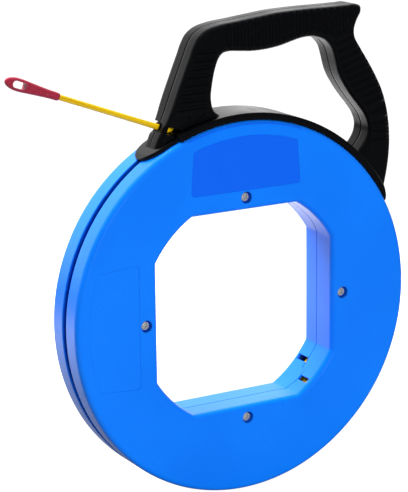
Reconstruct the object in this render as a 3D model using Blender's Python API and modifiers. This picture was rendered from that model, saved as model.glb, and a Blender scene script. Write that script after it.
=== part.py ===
"""A fish tape reel: a hollow round case of two shells that turns inside a fixed handle.

Frame: +Z up through the grip, the case's axis along Y, its front face towards -Y, and the origin
at the centre of the case. Everything is drawn flat in a local frame whose x is world X, whose y is
world Z and whose z points to the front, so each piece hangs from an empty turned 90 degrees about X.
"""

import math

import bmesh
import bpy
from mathutils import Matrix, Vector

MM = 0.001

# Case
CASE_R = 160 * MM
CASE_HALF = 22.6 * MM
RIM_EDGE = 4.5 * MM
WALL = 2.4 * MM
RIM_SLOT_HALF = 3.25 * MM
HUB_FLAT = 85.2 * MM
HUB_ARC = 99.2 * MM
HUB_FLARE = 5 * MM
SEAM_GAP = 0.15 * MM
CASE_STEPS = 60
# Where a shell's turned profile begins, inside the hub's opening
FACE_INNER = 80 * MM

# Label recesses, one above the opening and one on its left
LABEL_HALF = 52.5 * MM
LABEL_INNER = 102.3 * MM
LABEL_OUTER_R = 148.2 * MM
LABEL_DEPTH = 0.5 * MM

# Two slots through the hub wall, where the wound tape shows
WINDOW_WIDTH = 5 * MM
WINDOW_Z = (2.5 * MM, 16.6 * MM)
REAR_WINDOW_ANGLE = -40.4
FRONT_WINDOW_ANGLE = -50.1

# Case screws
SCREW_R = 96 * MM
SCREW_ANGLES = (90, 180, 0, 270)
BOSS_R = 6.2 * MM
COUNTERBORE_R = 5 * MM
COUNTERBORE_DEPTH = 4.4 * MM
# Head radius, head height and shank radius
SCREW_SIZES = (3.7 * MM, 2.2 * MM, 2 * MM)
SCREW_HOLE_R = 2.3 * MM
SCREW_LENGTH = 32 * MM
REAR_HOLE_DEPTH = 16 * MM

# Tape
TAPE_R = 2.4 * MM
COIL_INNER = 104 * MM
COIL_OUTER = 121.2 * MM
COIL_HALF = 17 * MM
TAKEOFF_R = 124 * MM
TAKEOFF_ANGLE = 69.2
MOUTH = 124 * MM
RUN_END = 119.7 * MM
COLLAR = 217 * MM

# The anchor that holds the tape's inner end, between the hub wall and the coil, low on the case
ANCHOR_LOW = (14 * MM, -98 * MM, -7.7 * MM)
ANCHOR_HIGH = (34 * MM, -88.2 * MM, 4.6 * MM)
ANCHOR_SCREW = (19.5 * MM, -92.8 * MM)
ANCHOR_SCREW_LENGTH = 20 * MM
ANCHOR_SCREW_SIZES = (2.9 * MM, 1.9 * MM, 1.5 * MM)
ANCHOR_BOSS_R = 4.2 * MM
ANCHOR_BOSS_TOP = 8 * MM
ANCHOR_HOLE_R = 1.8 * MM
ANCHOR_HOLE_Z = (7 * MM, 18 * MM)
TAIL_Y = -92.8 * MM
TAIL_X = (27 * MM, 62 * MM)

# Shoe that rides the rim, and the sliders under it
GAP = 0.3 * MM
SHOE_INNER = CASE_R + 0.35 * MM
SHOE_OUTER = 166.2 * MM
SHOE_HALF = 20.6 * MM
SHOE_START = 27.8
SHOE_STEP = 112.0
TONGUE_HALF = 16.5 * MM
TONGUE_TIP = 123.7
TONGUE_ANGLES = (116.5, 117.7, 119.4, 121.0, 122.2, 123.0)
TONGUE_ROUND = 6.4
TONGUE_LEAST = 3 * MM
TONGUE_OUTER = 163.8 * MM
SHOE_CHAMFER = 1.2 * MM
SHOE_THIN = 0.3
SHOE_THIN_SPAN = 4.0
SLIDER_STEM_HALF = 2.9 * MM
SLIDER_HEAD_HALF = 10 * MM
SLIDER_INNER = 154 * MM
SLIDER_SHELF = CASE_R - WALL - 0.4 * MM
SLIDER_OUTER = CASE_R + 0.05 * MM
SLIDER_SCREWS = {"front_slider": (115.1,), "rear_slider": (32.4, 43.9)}
SLIDER_SPANS = {"front_slider": (113.2, 121.2), "rear_slider": (30.6, 45.8)}
SLIDER_SCREW_SEAT = 162.2 * MM
SLIDER_SCREW_LENGTH = 8 * MM
SLIDER_SCREW_SIZES = (2.8 * MM, 1.4 * MM, 1.3 * MM)
SLIDER_RECESS_R = 3.2 * MM
SLIDER_HOLE_R = 1.7 * MM
SEAT_GAP = 0.1 * MM

# Handle
GRIP_HALF = 15 * MM
GRIP_ROUND = 5 * MM
HANDLE_BASE = SHOE_OUTER + GAP
FOOT_BASE = TONGUE_OUTER + GAP
FOOT_FROM = 112.3
LUG_HALF = 4 * MM
# Each lug's first and last angle and its outer radius
LUGS = {"front_lug": (98.0, 107.0, 190 * MM), "rear_lug": (36.2, 41.6, 180 * MM)}
LUG_SCREW_INSET = 8 * MM
LUG_ROOM_ANGLE = 0.2
POCKET_WALL = 3.5 * MM
HANDLE_RECESS_R = 4.4 * MM
HANDLE_RECESS_DEPTH = 4 * MM
HANDLE_SCREW_LENGTH = 20 * MM
BLIND_HOLE_DEPTH = 11 * MM
GUIDE_R = 4.3 * MM
GUIDE_SPAN = (116.2 * MM, 123.2 * MM)
# The handle's outline, in millimetres, from the rear foot up the outside, over the grip and down to the
# front foot, then back along the finger opening. Both feet run below the shoe and are cut to its curve.
HANDLE_OUTSIDE = (
    (143, 76), (148.6, 100), (150.9, 119), (150.6, 137), (147.8, 154.5), (142.8, 170.5),
    (136, 184), (128, 197.2),
    (119.5, 210), (114.2, 219), (113.6, 226), (116.2, 233), (118.4, 240), (114.4, 245.2),
    (104, 246), (76, 246.2),
    (38, 245.4), (1, 241.6), (-18, 239.6), (-30, 236.5), (-37.5, 231.4), (-42, 224.5),
    (-53.6, 197.4), (-66.8, 165.8),
    (-73.2, 153), (-78.5, 141),
)
HANDLE_INSIDE = (
    (-55, 150), (-8, 160), (-17.6, 165.4), (-24, 171), (-26.4, 180), (-25.4, 191), (-22.4, 204), (-18.4, 213),
    (-11, 217), (3, 216), (20, 215.2), (37, 216.8), (52, 220.2), (64, 222.4), (76, 221.4),
    (86, 217.4), (92, 209),
    (97.9, 189), (104.4, 177.6), (112.4, 166.6), (120.4, 157), (126.6, 148.2), (129.2, 140), (128, 132.6),
    (122.6, 123.8), (113.5, 114.5), (122, 86),
)
HANDLE_SCREWS = {
    "front_leg": (182 * MM, 102.5),
    "rear_leg": (172 * MM, 38.9),
    "grip_front": (228.6 * MM, 98.2),
    "grip_rear": (254.6 * MM, 66.6),
}
# Coring inside each half, in millimetres
HANDLE_POCKETS = {
    "grip": ((-22, 222), (-8, 222), (4, 220.5), (20, 219.8), (36, 221), (52, 224.5), (66, 227), (88, 226.5),
             (88, 241.5), (40, 240.8), (4, 237.2), (-22, 234)),
    "front_leg": ((-54, 184), (-31.5, 184), (-30, 192), (-27.5, 204), (-24, 214), (-38, 222)),
    "rear_leg": ((112.5, 173), (119.5, 164.5), (128, 155), (133, 147), (143.5, 147), (141, 158), (136, 170),
                 (127.5, 185), (112, 207), (101, 207), (104, 189)),
}
# The open gap between the front foot and its post, where the tape crosses, along the tape's line
GAP_START = 103 * MM
GAP_STOP = 115.5 * MM
GAP_HEIGHT = 3.6 * MM

# Eyelet
# Along the eyelet from its collar: distance, half height and half thickness, in millimetres
EYELET_SECTIONS = (
    (0, 2.7, 2.7), (0.6, 3.1, 3.1), (10, 3.5, 3.4), (20, 4.2, 3.6), (29, 4.9, 3.7),
    (36, 5.3, 3.6), (41, 5.0, 3.3),
    (45, 3.9, 2.9), (47.4, 2.6, 2.3), (48.5, 1.5, 1.5),
)
EYELET_SLOT = (31 * MM, 42.6 * MM)
EYELET_SLOT_HALF = 2.8 * MM

BLUE = (0.012, 0.19, 0.93)
BLACK = (0.012, 0.012, 0.014)
YELLOW = (0.9, 0.6, 0.01)
CRIMSON = (0.6, 0.04, 0.1)
STEEL = (0.62, 0.62, 0.6)
NATURAL = (0.75, 0.73, 0.66)


def clear_scene():
    for obj in list(bpy.data.objects):
        bpy.data.objects.remove(obj, do_unlink=True)


def new_collection(name):
    found = bpy.data.collections.new(name)
    bpy.context.scene.collection.children.link(found)
    return found


def new_material(name, colour, roughness, metallic=0.0):
    made = bpy.data.materials.new(name)
    made.use_nodes = True
    shader = made.node_tree.nodes["Principled BSDF"]
    shader.inputs["Base Color"].default_value = (*colour, 1.0)
    shader.inputs["Roughness"].default_value = roughness
    shader.inputs["Metallic"].default_value = metallic
    return made


clear_scene()
PARTS = new_collection("fish_tape_reel")
CUTTERS = new_collection("cutters")


def axis_empty(name, matrix):
    """An empty on a body's joint axis; the body's pieces hang from it."""
    empty = bpy.data.objects.new(name, None)
    PARTS.objects.link(empty)
    empty.matrix_world = matrix
    return empty


FRONT_UP = Matrix.Rotation(math.radians(90), 4, "X")
CASE_AXIS = axis_empty("case_axis", FRONT_UP)
HANDLE_FRAME = axis_empty("handle_frame", FRONT_UP)
TAPE_DIRECTION = math.radians(TAKEOFF_ANGLE + 90)
TAKEOFF = Matrix.Rotation(math.radians(TAKEOFF_ANGLE), 4, "Z") @ Vector((TAKEOFF_R, 0, 0))
TAPE_LOCAL = Matrix.Translation(TAKEOFF) @ Matrix.Rotation(TAPE_DIRECTION, 4, "Z")
TAPE_AXIS = axis_empty("tape_axis", FRONT_UP @ TAPE_LOCAL)


def place(obj, parent, looks, smooth=30):
    """Make a finished piece: parent, material, collection and shading."""
    for owner in list(obj.users_collection):
        owner.objects.unlink(obj)
    PARTS.objects.link(obj)
    obj.parent = parent
    obj.data.materials.clear()
    obj.data.materials.append(looks)
    if isinstance(obj.data, bpy.types.Mesh):
        obj.data.shade_smooth()
        obj.data.set_sharp_from_angle(angle=math.radians(smooth))
    return obj


def as_cutter(obj, parent):
    for owner in list(obj.users_collection):
        owner.objects.unlink(obj)
    CUTTERS.objects.link(obj)
    obj.parent = parent
    obj.hide_render = True
    obj.display_type = "WIRE"
    return obj


def combine(obj, other, operation):
    boolean = obj.modifiers.new(f"{operation.lower()}_{other.name}", "BOOLEAN")
    boolean.operation = operation
    boolean.solver = "EXACT"
    boolean.object = other


def mesh_object(name, mesh):
    obj = bpy.data.objects.new(name, mesh)
    bpy.context.scene.collection.objects.link(obj)
    return obj


def cylinder(name, radius, z_low, z_high, x=0.0, y=0.0, vertices=20):
    """A cylinder along local z between two depths."""
    bpy.ops.mesh.primitive_cylinder_add(vertices=vertices, radius=radius, depth=z_high - z_low)
    obj = bpy.context.object
    obj.name = name
    obj.data.transform(Matrix.Translation((x, y, (z_low + z_high) / 2)))
    return obj


def block(name, low, high, turn=0.0):
    """A box between two local corners, turned about the frame's own z by some degrees."""
    bpy.ops.mesh.primitive_cube_add(size=1)
    obj = bpy.context.object
    obj.name = name
    size = Vector(high) - Vector(low)
    middle = (Vector(high) + Vector(low)) / 2
    obj.data.transform(Matrix.Translation(middle) @ Matrix.Diagonal((*size, 1)))
    obj.data.transform(Matrix.Rotation(math.radians(turn), 4, "Z"))
    return obj


def turned(name, profile, steps):
    """A closed profile of (radius, z) points, turned about local z with a Screw modifier."""
    mesh = bpy.data.meshes.new(name)
    count = len(profile)
    mesh.from_pydata([(r, 0, z) for r, z in profile], [(i, (i + 1) % count) for i in range(count)], [])
    obj = mesh_object(name, mesh)
    screw = obj.modifiers.new("turn", "SCREW")
    screw.axis = "Z"
    screw.steps = steps
    screw.render_steps = steps
    screw.use_merge_vertices = True
    screw.merge_threshold = 0.00001
    screw.use_smooth_shade = True
    return obj


def loft(name, rings):
    """A closed body through rings of equal point count, with flat ends."""
    work = bmesh.new()
    rows = [[work.verts.new(point) for point in ring] for ring in rings]
    for low, high in zip(rows, rows[1:]):
        for i in range(len(low)):
            j = (i + 1) % len(low)
            work.faces.new((low[i], low[j], high[j], high[i]))
    work.faces.new(list(reversed(rows[0])))
    work.faces.new(rows[-1])
    bmesh.ops.recalc_face_normals(work, faces=work.faces)
    mesh = bpy.data.meshes.new(name)
    work.to_mesh(mesh)
    work.free()
    return mesh_object(name, mesh)


def flat_outline(name, points, z_low, z_high, rounding=0.0, resolution=0):
    """A closed outline filled and extruded between two depths, its edges rounded inwards."""
    curve = bpy.data.curves.new(name, "CURVE")
    curve.dimensions = "2D"
    curve.fill_mode = "BOTH"
    curve.extrude = (z_high - z_low) / 2 - rounding
    curve.bevel_depth = rounding
    curve.bevel_resolution = 1
    curve.offset = -rounding
    curve.resolution_u = max(resolution, 1)
    if resolution:
        spline = curve.splines.new("BEZIER")
        spline.bezier_points.add(len(points) - 1)
        for knot, (x, y) in zip(spline.bezier_points, points):
            knot.co = (x, y, 0)
            knot.handle_left_type = "AUTO"
            knot.handle_right_type = "AUTO"
    else:
        spline = curve.splines.new("POLY")
        spline.points.add(len(points) - 1)
        for knot, (x, y) in zip(spline.points, points):
            knot.co = (x, y, 0, 1)
    spline.use_cyclic_u = True
    drawn = bpy.data.objects.new(name, curve)
    drawn.location.z = (z_low + z_high) / 2
    bpy.context.scene.collection.objects.link(drawn)
    bpy.context.view_layer.update()
    mesh = bpy.data.meshes.new_from_object(drawn.evaluated_get(bpy.context.evaluated_depsgraph_get()))
    mesh.transform(drawn.matrix_world)
    bpy.data.objects.remove(drawn, do_unlink=True)
    work = bmesh.new()
    work.from_mesh(mesh)
    bmesh.ops.remove_doubles(work, verts=work.verts, dist=0.000005)
    bmesh.ops.recalc_face_normals(work, faces=work.faces)
    work.to_mesh(mesh)
    work.free()
    return mesh_object(name, mesh)


def arc(radius, start, stop, count):
    """Points on a circle about the case's axis, angles in degrees from +x."""
    step = (stop - start) / (count - 1)
    angles = [math.radians(start + step * i) for i in range(count)]
    return [(radius * math.cos(a), radius * math.sin(a)) for a in angles]


def hub_outline(grow, per_corner=6):
    """A square with arc corners: flats at HUB_FLAT and corners at HUB_ARC, grown outwards."""
    flat, radius = HUB_FLAT + grow, HUB_ARC + grow
    lean = math.degrees(math.acos(flat / radius))
    points = []
    for corner in range(4):
        points += arc(radius, 90 * corner + lean, 90 * corner + 90 - lean, per_corner)
    return points


def hub_ring(grow, z):
    return [(x, y, z) for x, y in hub_outline(grow)]


def polar(radius, degrees):
    return radius * math.cos(math.radians(degrees)), radius * math.sin(math.radians(degrees))


def hub_cutter(name):
    """The opening through a shell, with its rounded flare at the face."""
    rings = [hub_ring(0, -1 * MM), hub_ring(0, CASE_HALF - HUB_FLARE)]
    for degrees in (22.5, 45, 67.5, 90):
        out = HUB_FLARE * (1 - math.cos(math.radians(degrees)))
        up = HUB_FLARE * math.sin(math.radians(degrees))
        rings.append(hub_ring(out, CASE_HALF - HUB_FLARE + up))
    rings.append(hub_ring(HUB_FLARE, CASE_HALF + 1 * MM))
    return loft(name, rings)


def label_cutter(name, turn):
    """A shallow panel with a straight inner edge and an outer edge concentric with the rim."""
    lean = math.degrees(math.acos(LABEL_HALF / LABEL_OUTER_R))
    points = [(-LABEL_HALF, LABEL_INNER), (LABEL_HALF, LABEL_INNER)]
    points += arc(LABEL_OUTER_R, lean, 180 - lean, 9)
    turned_points = [Matrix.Rotation(math.radians(turn), 2) @ Vector(p) for p in points]
    return flat_outline(name, turned_points, CASE_HALF - LABEL_DEPTH, CASE_HALF + 1 * MM)


def shell(name, side, looks):
    """One half of the case: an annular dish with a hub wall and four screw bosses.

    side is 1 for the front half and -1 for the rear half, whose local z points to the back.
    """
    seat = CASE_HALF - WALL
    lip = [polar(RIM_EDGE, degrees) for degrees in (0, 30, 60, 90)]
    outer = [(CASE_R - RIM_EDGE + x, CASE_HALF - RIM_EDGE + z) for x, z in lip]
    profile = [(FACE_INNER, seat), (FACE_INNER, CASE_HALF)] + outer[::-1]
    profile += [(CASE_R, RIM_SLOT_HALF), (CASE_R - WALL, RIM_SLOT_HALF), (CASE_R - WALL, seat)]
    obj = turned(name, profile, CASE_STEPS)
    flip = Matrix.Rotation(math.radians(90 - 90 * side), 4, "X")
    parent = axis_empty(f"{name}_axis", CASE_AXIS.matrix_world @ flip)

    hub = loft(f"{name}_hub", [hub_ring(WALL, SEAM_GAP), hub_ring(WALL, CASE_HALF - WALL / 2)])
    combine(obj, as_cutter(hub, parent), "UNION")
    for angle in SCREW_ANGLES:
        x, y = polar(SCREW_R, angle)
        boss = cylinder(f"{name}_boss_{angle}", BOSS_R, SEAM_GAP, CASE_HALF - WALL / 2, x, y)
        combine(obj, as_cutter(boss, parent), "UNION")
    if side < 0:
        x, y = ANCHOR_SCREW[0], -ANCHOR_SCREW[1]
        boss = cylinder(f"{name}_anchor_boss", ANCHOR_BOSS_R, ANCHOR_BOSS_TOP, CASE_HALF - WALL / 2, x, y)
        combine(obj, as_cutter(boss, parent), "UNION")
        hole = cylinder(f"{name}_anchor_hole", ANCHOR_HOLE_R, *ANCHOR_HOLE_Z, x, y, 12)
        combine(obj, as_cutter(hole, parent), "DIFFERENCE")

    combine(obj, as_cutter(hub_cutter(f"{name}_opening"), parent), "DIFFERENCE")
    for turn in (0, 90 * side):
        flipped = turn if side > 0 else turn + 180
        combine(obj, as_cutter(label_cutter(f"{name}_label_{turn}", flipped), parent), "DIFFERENCE")
    for angle in SCREW_ANGLES:
        x, y = polar(SCREW_R, angle)
        if side > 0:
            top = CASE_HALF - COUNTERBORE_DEPTH
            recess = cylinder(f"{name}_recess_{angle}", COUNTERBORE_R, top, CASE_HALF + MM, x, y)
            combine(obj, as_cutter(recess, parent), "DIFFERENCE")
            hole = cylinder(f"{name}_hole_{angle}", SCREW_HOLE_R, -MM, top + MM, x, y, 12)
        else:
            hole = cylinder(f"{name}_hole_{angle}", SCREW_HOLE_R, -MM, REAR_HOLE_DEPTH, x, y, 12)
        combine(obj, as_cutter(hole, parent), "DIFFERENCE")
    angle = FRONT_WINDOW_ANGLE if side > 0 else -REAR_WINDOW_ANGLE
    low = (HUB_ARC - 2 * MM, -WINDOW_WIDTH / 2, WINDOW_Z[0])
    high = (HUB_ARC + WALL + MM, WINDOW_WIDTH / 2, WINDOW_Z[1])
    combine(obj, as_cutter(block(f"{name}_window", low, high, angle), parent), "DIFFERENCE")
    return place(obj, parent, looks)


def pan_screw(name, parent, looks, place_at, length, sizes=SCREW_SIZES):
    """A pan-head screw: z is along its shank, with the underside of the head at its origin."""
    head_r, head, shank = sizes
    profile = [(0, head), (head_r * 0.62, head), (head_r, head * 0.45), (head_r, 0), (shank, 0)]
    profile += [(shank, -length + 1.2 * MM), (0, -length)]
    obj = turned(name, profile, 12)
    obj.matrix_local = place_at
    return place(obj, parent, looks)


def tube(name, points, radius, resolution=2):
    """A round rod along a straight or bent run of points, with filled caps."""
    curve = bpy.data.curves.new(name, "CURVE")
    curve.dimensions = "3D"
    curve.bevel_depth = radius
    curve.bevel_resolution = resolution
    curve.use_fill_caps = True
    spline = curve.splines.new("POLY")
    spline.points.add(len(points) - 1)
    for knot, point in zip(spline.points, points):
        knot.co = (*point, 1)
    obj = bpy.data.objects.new(name, curve)
    bpy.context.scene.collection.objects.link(obj)
    return obj


def as_mesh(obj):
    """Swap a curve object for its welded mesh, so that it can be cut or joined."""
    bpy.context.view_layer.update()
    mesh = bpy.data.meshes.new_from_object(obj.evaluated_get(bpy.context.evaluated_depsgraph_get()))
    name = obj.name
    matrix = obj.matrix_world.copy()
    bpy.data.objects.remove(obj, do_unlink=True)
    work = bmesh.new()
    work.from_mesh(mesh)
    bmesh.ops.remove_doubles(work, verts=work.verts, dist=0.000005)
    work.to_mesh(mesh)
    work.free()
    swapped = mesh_object(name, mesh)
    swapped.matrix_world = matrix
    return swapped


def case(blue, steel, yellow, natural):
    """The turning body: both shells, their screws, the wound tape and its anchor."""
    shell("front_shell", 1, blue)
    shell("rear_shell", -1, blue)
    head_seat = CASE_HALF - COUNTERBORE_DEPTH + SEAT_GAP
    for number, angle in enumerate(SCREW_ANGLES, 1):
        x, y = polar(SCREW_R, angle)
        pan_screw(f"case_screw_{number}", CASE_AXIS, steel, Matrix.Translation((x, y, head_seat)), SCREW_LENGTH)

    corner = 2 * MM
    profile = [(COIL_INNER, COIL_HALF - corner), (COIL_INNER + corner, COIL_HALF)]
    profile += [(COIL_OUTER - corner, COIL_HALF), (COIL_OUTER, COIL_HALF - corner)]
    profile += [(COIL_OUTER, corner - COIL_HALF), (COIL_OUTER - corner, -COIL_HALF)]
    profile += [(COIL_INNER + corner, -COIL_HALF), (COIL_INNER, corner - COIL_HALF)]
    coil = turned("tape_coil", profile, 48)
    tail = as_mesh(tube("tape_tail", [(TAIL_X[0], TAIL_Y, 0), (TAIL_X[1], TAIL_Y, 0)], TAPE_R))
    combine(coil, as_cutter(tail, CASE_AXIS), "UNION")
    place(coil, CASE_AXIS, yellow)

    anchor = block("tape_anchor", ANCHOR_LOW, ANCHOR_HIGH)
    bore_from = TAIL_X[0] - 3 * MM
    bore = tube("anchor_bore", [(bore_from, TAIL_Y, 0), (ANCHOR_HIGH[0] + 2 * MM, TAIL_Y, 0)], TAPE_R + GAP)
    combine(anchor, as_cutter(as_mesh(bore), CASE_AXIS), "DIFFERENCE")
    x, y = ANCHOR_SCREW
    hole = cylinder("anchor_hole", ANCHOR_HOLE_R, ANCHOR_LOW[2] - MM, ANCHOR_HIGH[2] + MM, x, y, 12)
    combine(anchor, as_cutter(hole, CASE_AXIS), "DIFFERENCE")
    place(anchor, CASE_AXIS, natural)
    head_at = Matrix.Translation((x, y, ANCHOR_HIGH[2] + GAP))
    pan_screw("anchor_screw", CASE_AXIS, steel, head_at, ANCHOR_SCREW_LENGTH, ANCHOR_SCREW_SIZES)


def sector(name, start, stop, inner, outer, half, count):
    """Part of a ring about the case's axis, between two angles in degrees."""
    points = arc(outer, start, stop, count) + arc(inner, stop, start, count)
    return flat_outline(name, points, -half, half)


def shoe_width(angle):
    """Half width of the shoe: full over the strap, narrower and rounded over the tongue."""
    if angle <= SHOE_STEP:
        return SHOE_HALF
    round_from = TONGUE_TIP - TONGUE_ROUND
    if angle <= round_from:
        return TONGUE_HALF
    across = (angle - round_from) / (TONGUE_TIP - round_from)
    return max(TONGUE_HALF * math.sqrt(1 - across * across), TONGUE_LEAST)


def shoe_outer(angle):
    """Outer radius of the shoe, which thins out at the rear end and is lower on the tongue."""
    if angle > SHOE_STEP:
        return TONGUE_OUTER
    rise = min((angle - SHOE_START) / SHOE_THIN_SPAN, 1.0)
    return SHOE_INNER + (SHOE_OUTER - SHOE_INNER) * (SHOE_THIN + (1 - SHOE_THIN) * rise)


def shoe_ring(angle):
    half = shoe_width(angle)
    outer = shoe_outer(angle)
    top, edge = outer - SHOE_CHAMFER, half - SHOE_CHAMFER
    section = [(SHOE_INNER, -half), (SHOE_INNER, half), (top, half), (outer, edge), (outer, -edge), (top, -half)]
    return [(*polar(radius, angle), z) for radius, z in section]


def slider_ring(angle):
    stem, head = SLIDER_STEM_HALF, SLIDER_HEAD_HALF
    section = [(SLIDER_INNER, -head), (SLIDER_INNER, head), (SLIDER_SHELF, head), (SLIDER_SHELF, stem)]
    section += [(SLIDER_OUTER, stem), (SLIDER_OUTER, -stem), (SLIDER_SHELF, -stem), (SLIDER_SHELF, -head)]
    return [(*polar(radius, angle), z) for radius, z in section]


def radial(angle, radius):
    """A frame whose z points away from the case's axis at some angle and radius."""
    x, y = polar(radius, angle)
    turn = Matrix.Rotation(math.radians(angle), 4, "Z") @ Matrix.Rotation(math.radians(90), 4, "Y")
    return Matrix.Translation((x, y, 0)) @ turn


def tape_bore(name, radius, start, stop, parent=None):
    """A straight hole along the tape's line, between two distances from its takeoff point."""
    bore = tube(name, [(start, 0, 0), (stop, 0, 0)], radius, 3)
    return as_cutter(as_mesh(bore), parent or TAPE_AXIS)


def shoe_and_sliders(black, natural, steel):
    """The strap over the rim with its tongue and lugs, and the two sliders under the rim."""
    steps = 28
    angles = [SHOE_START + (SHOE_STEP - SHOE_START) * i / steps for i in range(steps + 1)]
    angles += [SHOE_STEP + 0.02, *TONGUE_ANGLES, TONGUE_TIP]
    shoe = loft("shoe", [shoe_ring(angle) for angle in angles])
    for name, (start, stop, outer) in LUGS.items():
        lug = sector(name, start, stop, SHOE_OUTER - 2 * MM, outer, LUG_HALF, 5)
        combine(shoe, as_cutter(lug, HANDLE_FRAME), "UNION")
        x, y = polar(outer - LUG_SCREW_INSET, (start + stop) / 2)
        hole = cylinder(f"{name}_hole", SCREW_HOLE_R, -2 * LUG_HALF, 2 * LUG_HALF, x, y, 12)
        combine(shoe, as_cutter(hole, HANDLE_FRAME), "DIFFERENCE")
    combine(shoe, tape_bore("shoe_bore", TAPE_R + 0.8 * MM, 70 * MM, 150 * MM), "DIFFERENCE")

    for slider_name, screw_angles in SLIDER_SCREWS.items():
        start, stop = SLIDER_SPANS[slider_name]
        slider = loft(slider_name, [slider_ring(start + (stop - start) * i / 4) for i in range(5)])
        for number, angle in enumerate(screw_angles, 1):
            name = f"{slider_name}_screw_{number}"
            recess = cylinder(f"{name}_recess", SLIDER_RECESS_R, 0, 8 * MM, vertices=16)
            recess.matrix_local = radial(angle, SLIDER_SCREW_SEAT)
            combine(shoe, as_cutter(recess, HANDLE_FRAME), "DIFFERENCE")
            hole = cylinder(f"{name}_hole", SLIDER_HOLE_R, -20 * MM, 4 * MM, vertices=12)
            hole.matrix_local = radial(angle, SLIDER_SCREW_SEAT)
            as_cutter(hole, HANDLE_FRAME)
            combine(shoe, hole, "DIFFERENCE")
            combine(slider, hole, "DIFFERENCE")
            head_at = radial(angle, SLIDER_SCREW_SEAT + SEAT_GAP)
            pan_screw(name, HANDLE_FRAME, steel, head_at, SLIDER_SCREW_LENGTH, SLIDER_SCREW_SIZES)
        place(slider, HANDLE_FRAME, natural)
    place(shoe, HANDLE_FRAME, black)


def handle_screw_place(name):
    radius, angle = HANDLE_SCREWS[name]
    return polar(radius, angle)


def handle_half(name, side, looks):
    """One moulded half of the handle: the front one has blind screw holes, the rear one counterbores."""
    points = [(x * MM, y * MM) for x, y in HANDLE_OUTSIDE + HANDLE_INSIDE]
    obj = flat_outline(name, points, -GRIP_HALF, GRIP_HALF, GRIP_ROUND, 2)
    keep = (0.05 * MM, 30 * MM) if side > 0 else (-30 * MM, -0.25 * MM)
    room = block(f"{name}_side", (-0.3, -0.1, keep[0]), (0.3, 0.4, keep[1]))
    combine(obj, as_cutter(room, HANDLE_FRAME), "INTERSECT")
    curve = arc(HANDLE_BASE, 0, FOOT_FROM, 60) + arc(FOOT_BASE, FOOT_FROM, 180, 40)
    under = flat_outline(f"{name}_under", curve, -40 * MM, 40 * MM)
    combine(obj, as_cutter(under, HANDLE_FRAME), "DIFFERENCE")

    for pocket, outline in HANDLE_POCKETS.items():
        depth = GRIP_HALF - POCKET_WALL
        low, high = (-MM, depth) if side > 0 else (-depth, MM)
        cutter = flat_outline(f"{name}_{pocket}_pocket", [(x * MM, y * MM) for x, y in outline], low, high)
        combine(obj, as_cutter(cutter, HANDLE_FRAME), "DIFFERENCE")
    for lug, (start, stop, outer) in LUGS.items():
        low, high = start - LUG_ROOM_ANGLE, stop + LUG_ROOM_ANGLE
        room = sector(f"{name}_{lug}", low, high, SHOE_OUTER - MM, outer + GAP, LUG_HALF + GAP, 5)
        combine(obj, as_cutter(room, HANDLE_FRAME), "DIFFERENCE")
    for screw in HANDLE_SCREWS:
        x, y = handle_screw_place(screw)
        low, high = (-MM, BLIND_HOLE_DEPTH) if side > 0 else (-GRIP_HALF - MM, MM)
        hole = cylinder(f"{name}_{screw}_hole", SCREW_HOLE_R, low, high, x, y, 12)
        combine(obj, as_cutter(hole, HANDLE_FRAME), "DIFFERENCE")
        if side < 0:
            floor = HANDLE_RECESS_DEPTH - GRIP_HALF
            recess = cylinder(f"{name}_{screw}_recess", HANDLE_RECESS_R, -GRIP_HALF - MM, floor, x, y)
            combine(obj, as_cutter(recess, HANDLE_FRAME), "DIFFERENCE")

    gap = block(f"{name}_gap", (GAP_START, -GAP_HEIGHT, -40 * MM), (GAP_STOP, GAP_HEIGHT, 40 * MM))
    combine(obj, as_cutter(gap, TAPE_AXIS), "DIFFERENCE")
    guide_room = tape_bore(f"{name}_guide_room", GUIDE_R + GAP, GAP_STOP - MM, MOUTH + 20 * MM)
    combine(obj, guide_room, "DIFFERENCE")
    return place(obj, HANDLE_FRAME, looks)


def handle(black, steel, natural):
    """The fixed body's upper part: two halves, their screws and the guide bush for the tape."""
    handle_half("handle_front_half", 1, black)
    handle_half("handle_rear_half", -1, black)
    for screw in HANDLE_SCREWS:
        x, y = handle_screw_place(screw)
        head_z = HANDLE_RECESS_DEPTH - GRIP_HALF - SEAT_GAP
        seat = Matrix.Translation((x, y, head_z)) @ Matrix.Rotation(math.pi, 4, "X")
        pan_screw(f"handle_screw_{screw}", HANDLE_FRAME, steel, seat, HANDLE_SCREW_LENGTH)

    inner = TAPE_R + 0.5 * MM
    low, high = GUIDE_SPAN
    profile = [(inner, low), (inner, high - MM), (inner + MM, high), (GUIDE_R, high), (GUIDE_R, low)]
    guide = turned("tape_guide", profile, 16)
    guide.matrix_local = TAPE_LOCAL @ Matrix.Rotation(math.radians(90), 4, "Y")
    place(guide, HANDLE_FRAME, natural)


def eyelet_ring(along, half_height, half_thick, count=12):
    """A superellipse section of the eyelet, flatter than an ellipse."""
    ring = []
    for i in range(count):
        turn = 2 * math.pi * i / count
        side, face = math.cos(turn), math.sin(turn)
        y = half_height * math.copysign(abs(side) ** 0.8, side)
        z = half_thick * math.copysign(abs(face) ** 0.8, face)
        ring.append((COLLAR + along, y, z))
    return ring


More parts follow.
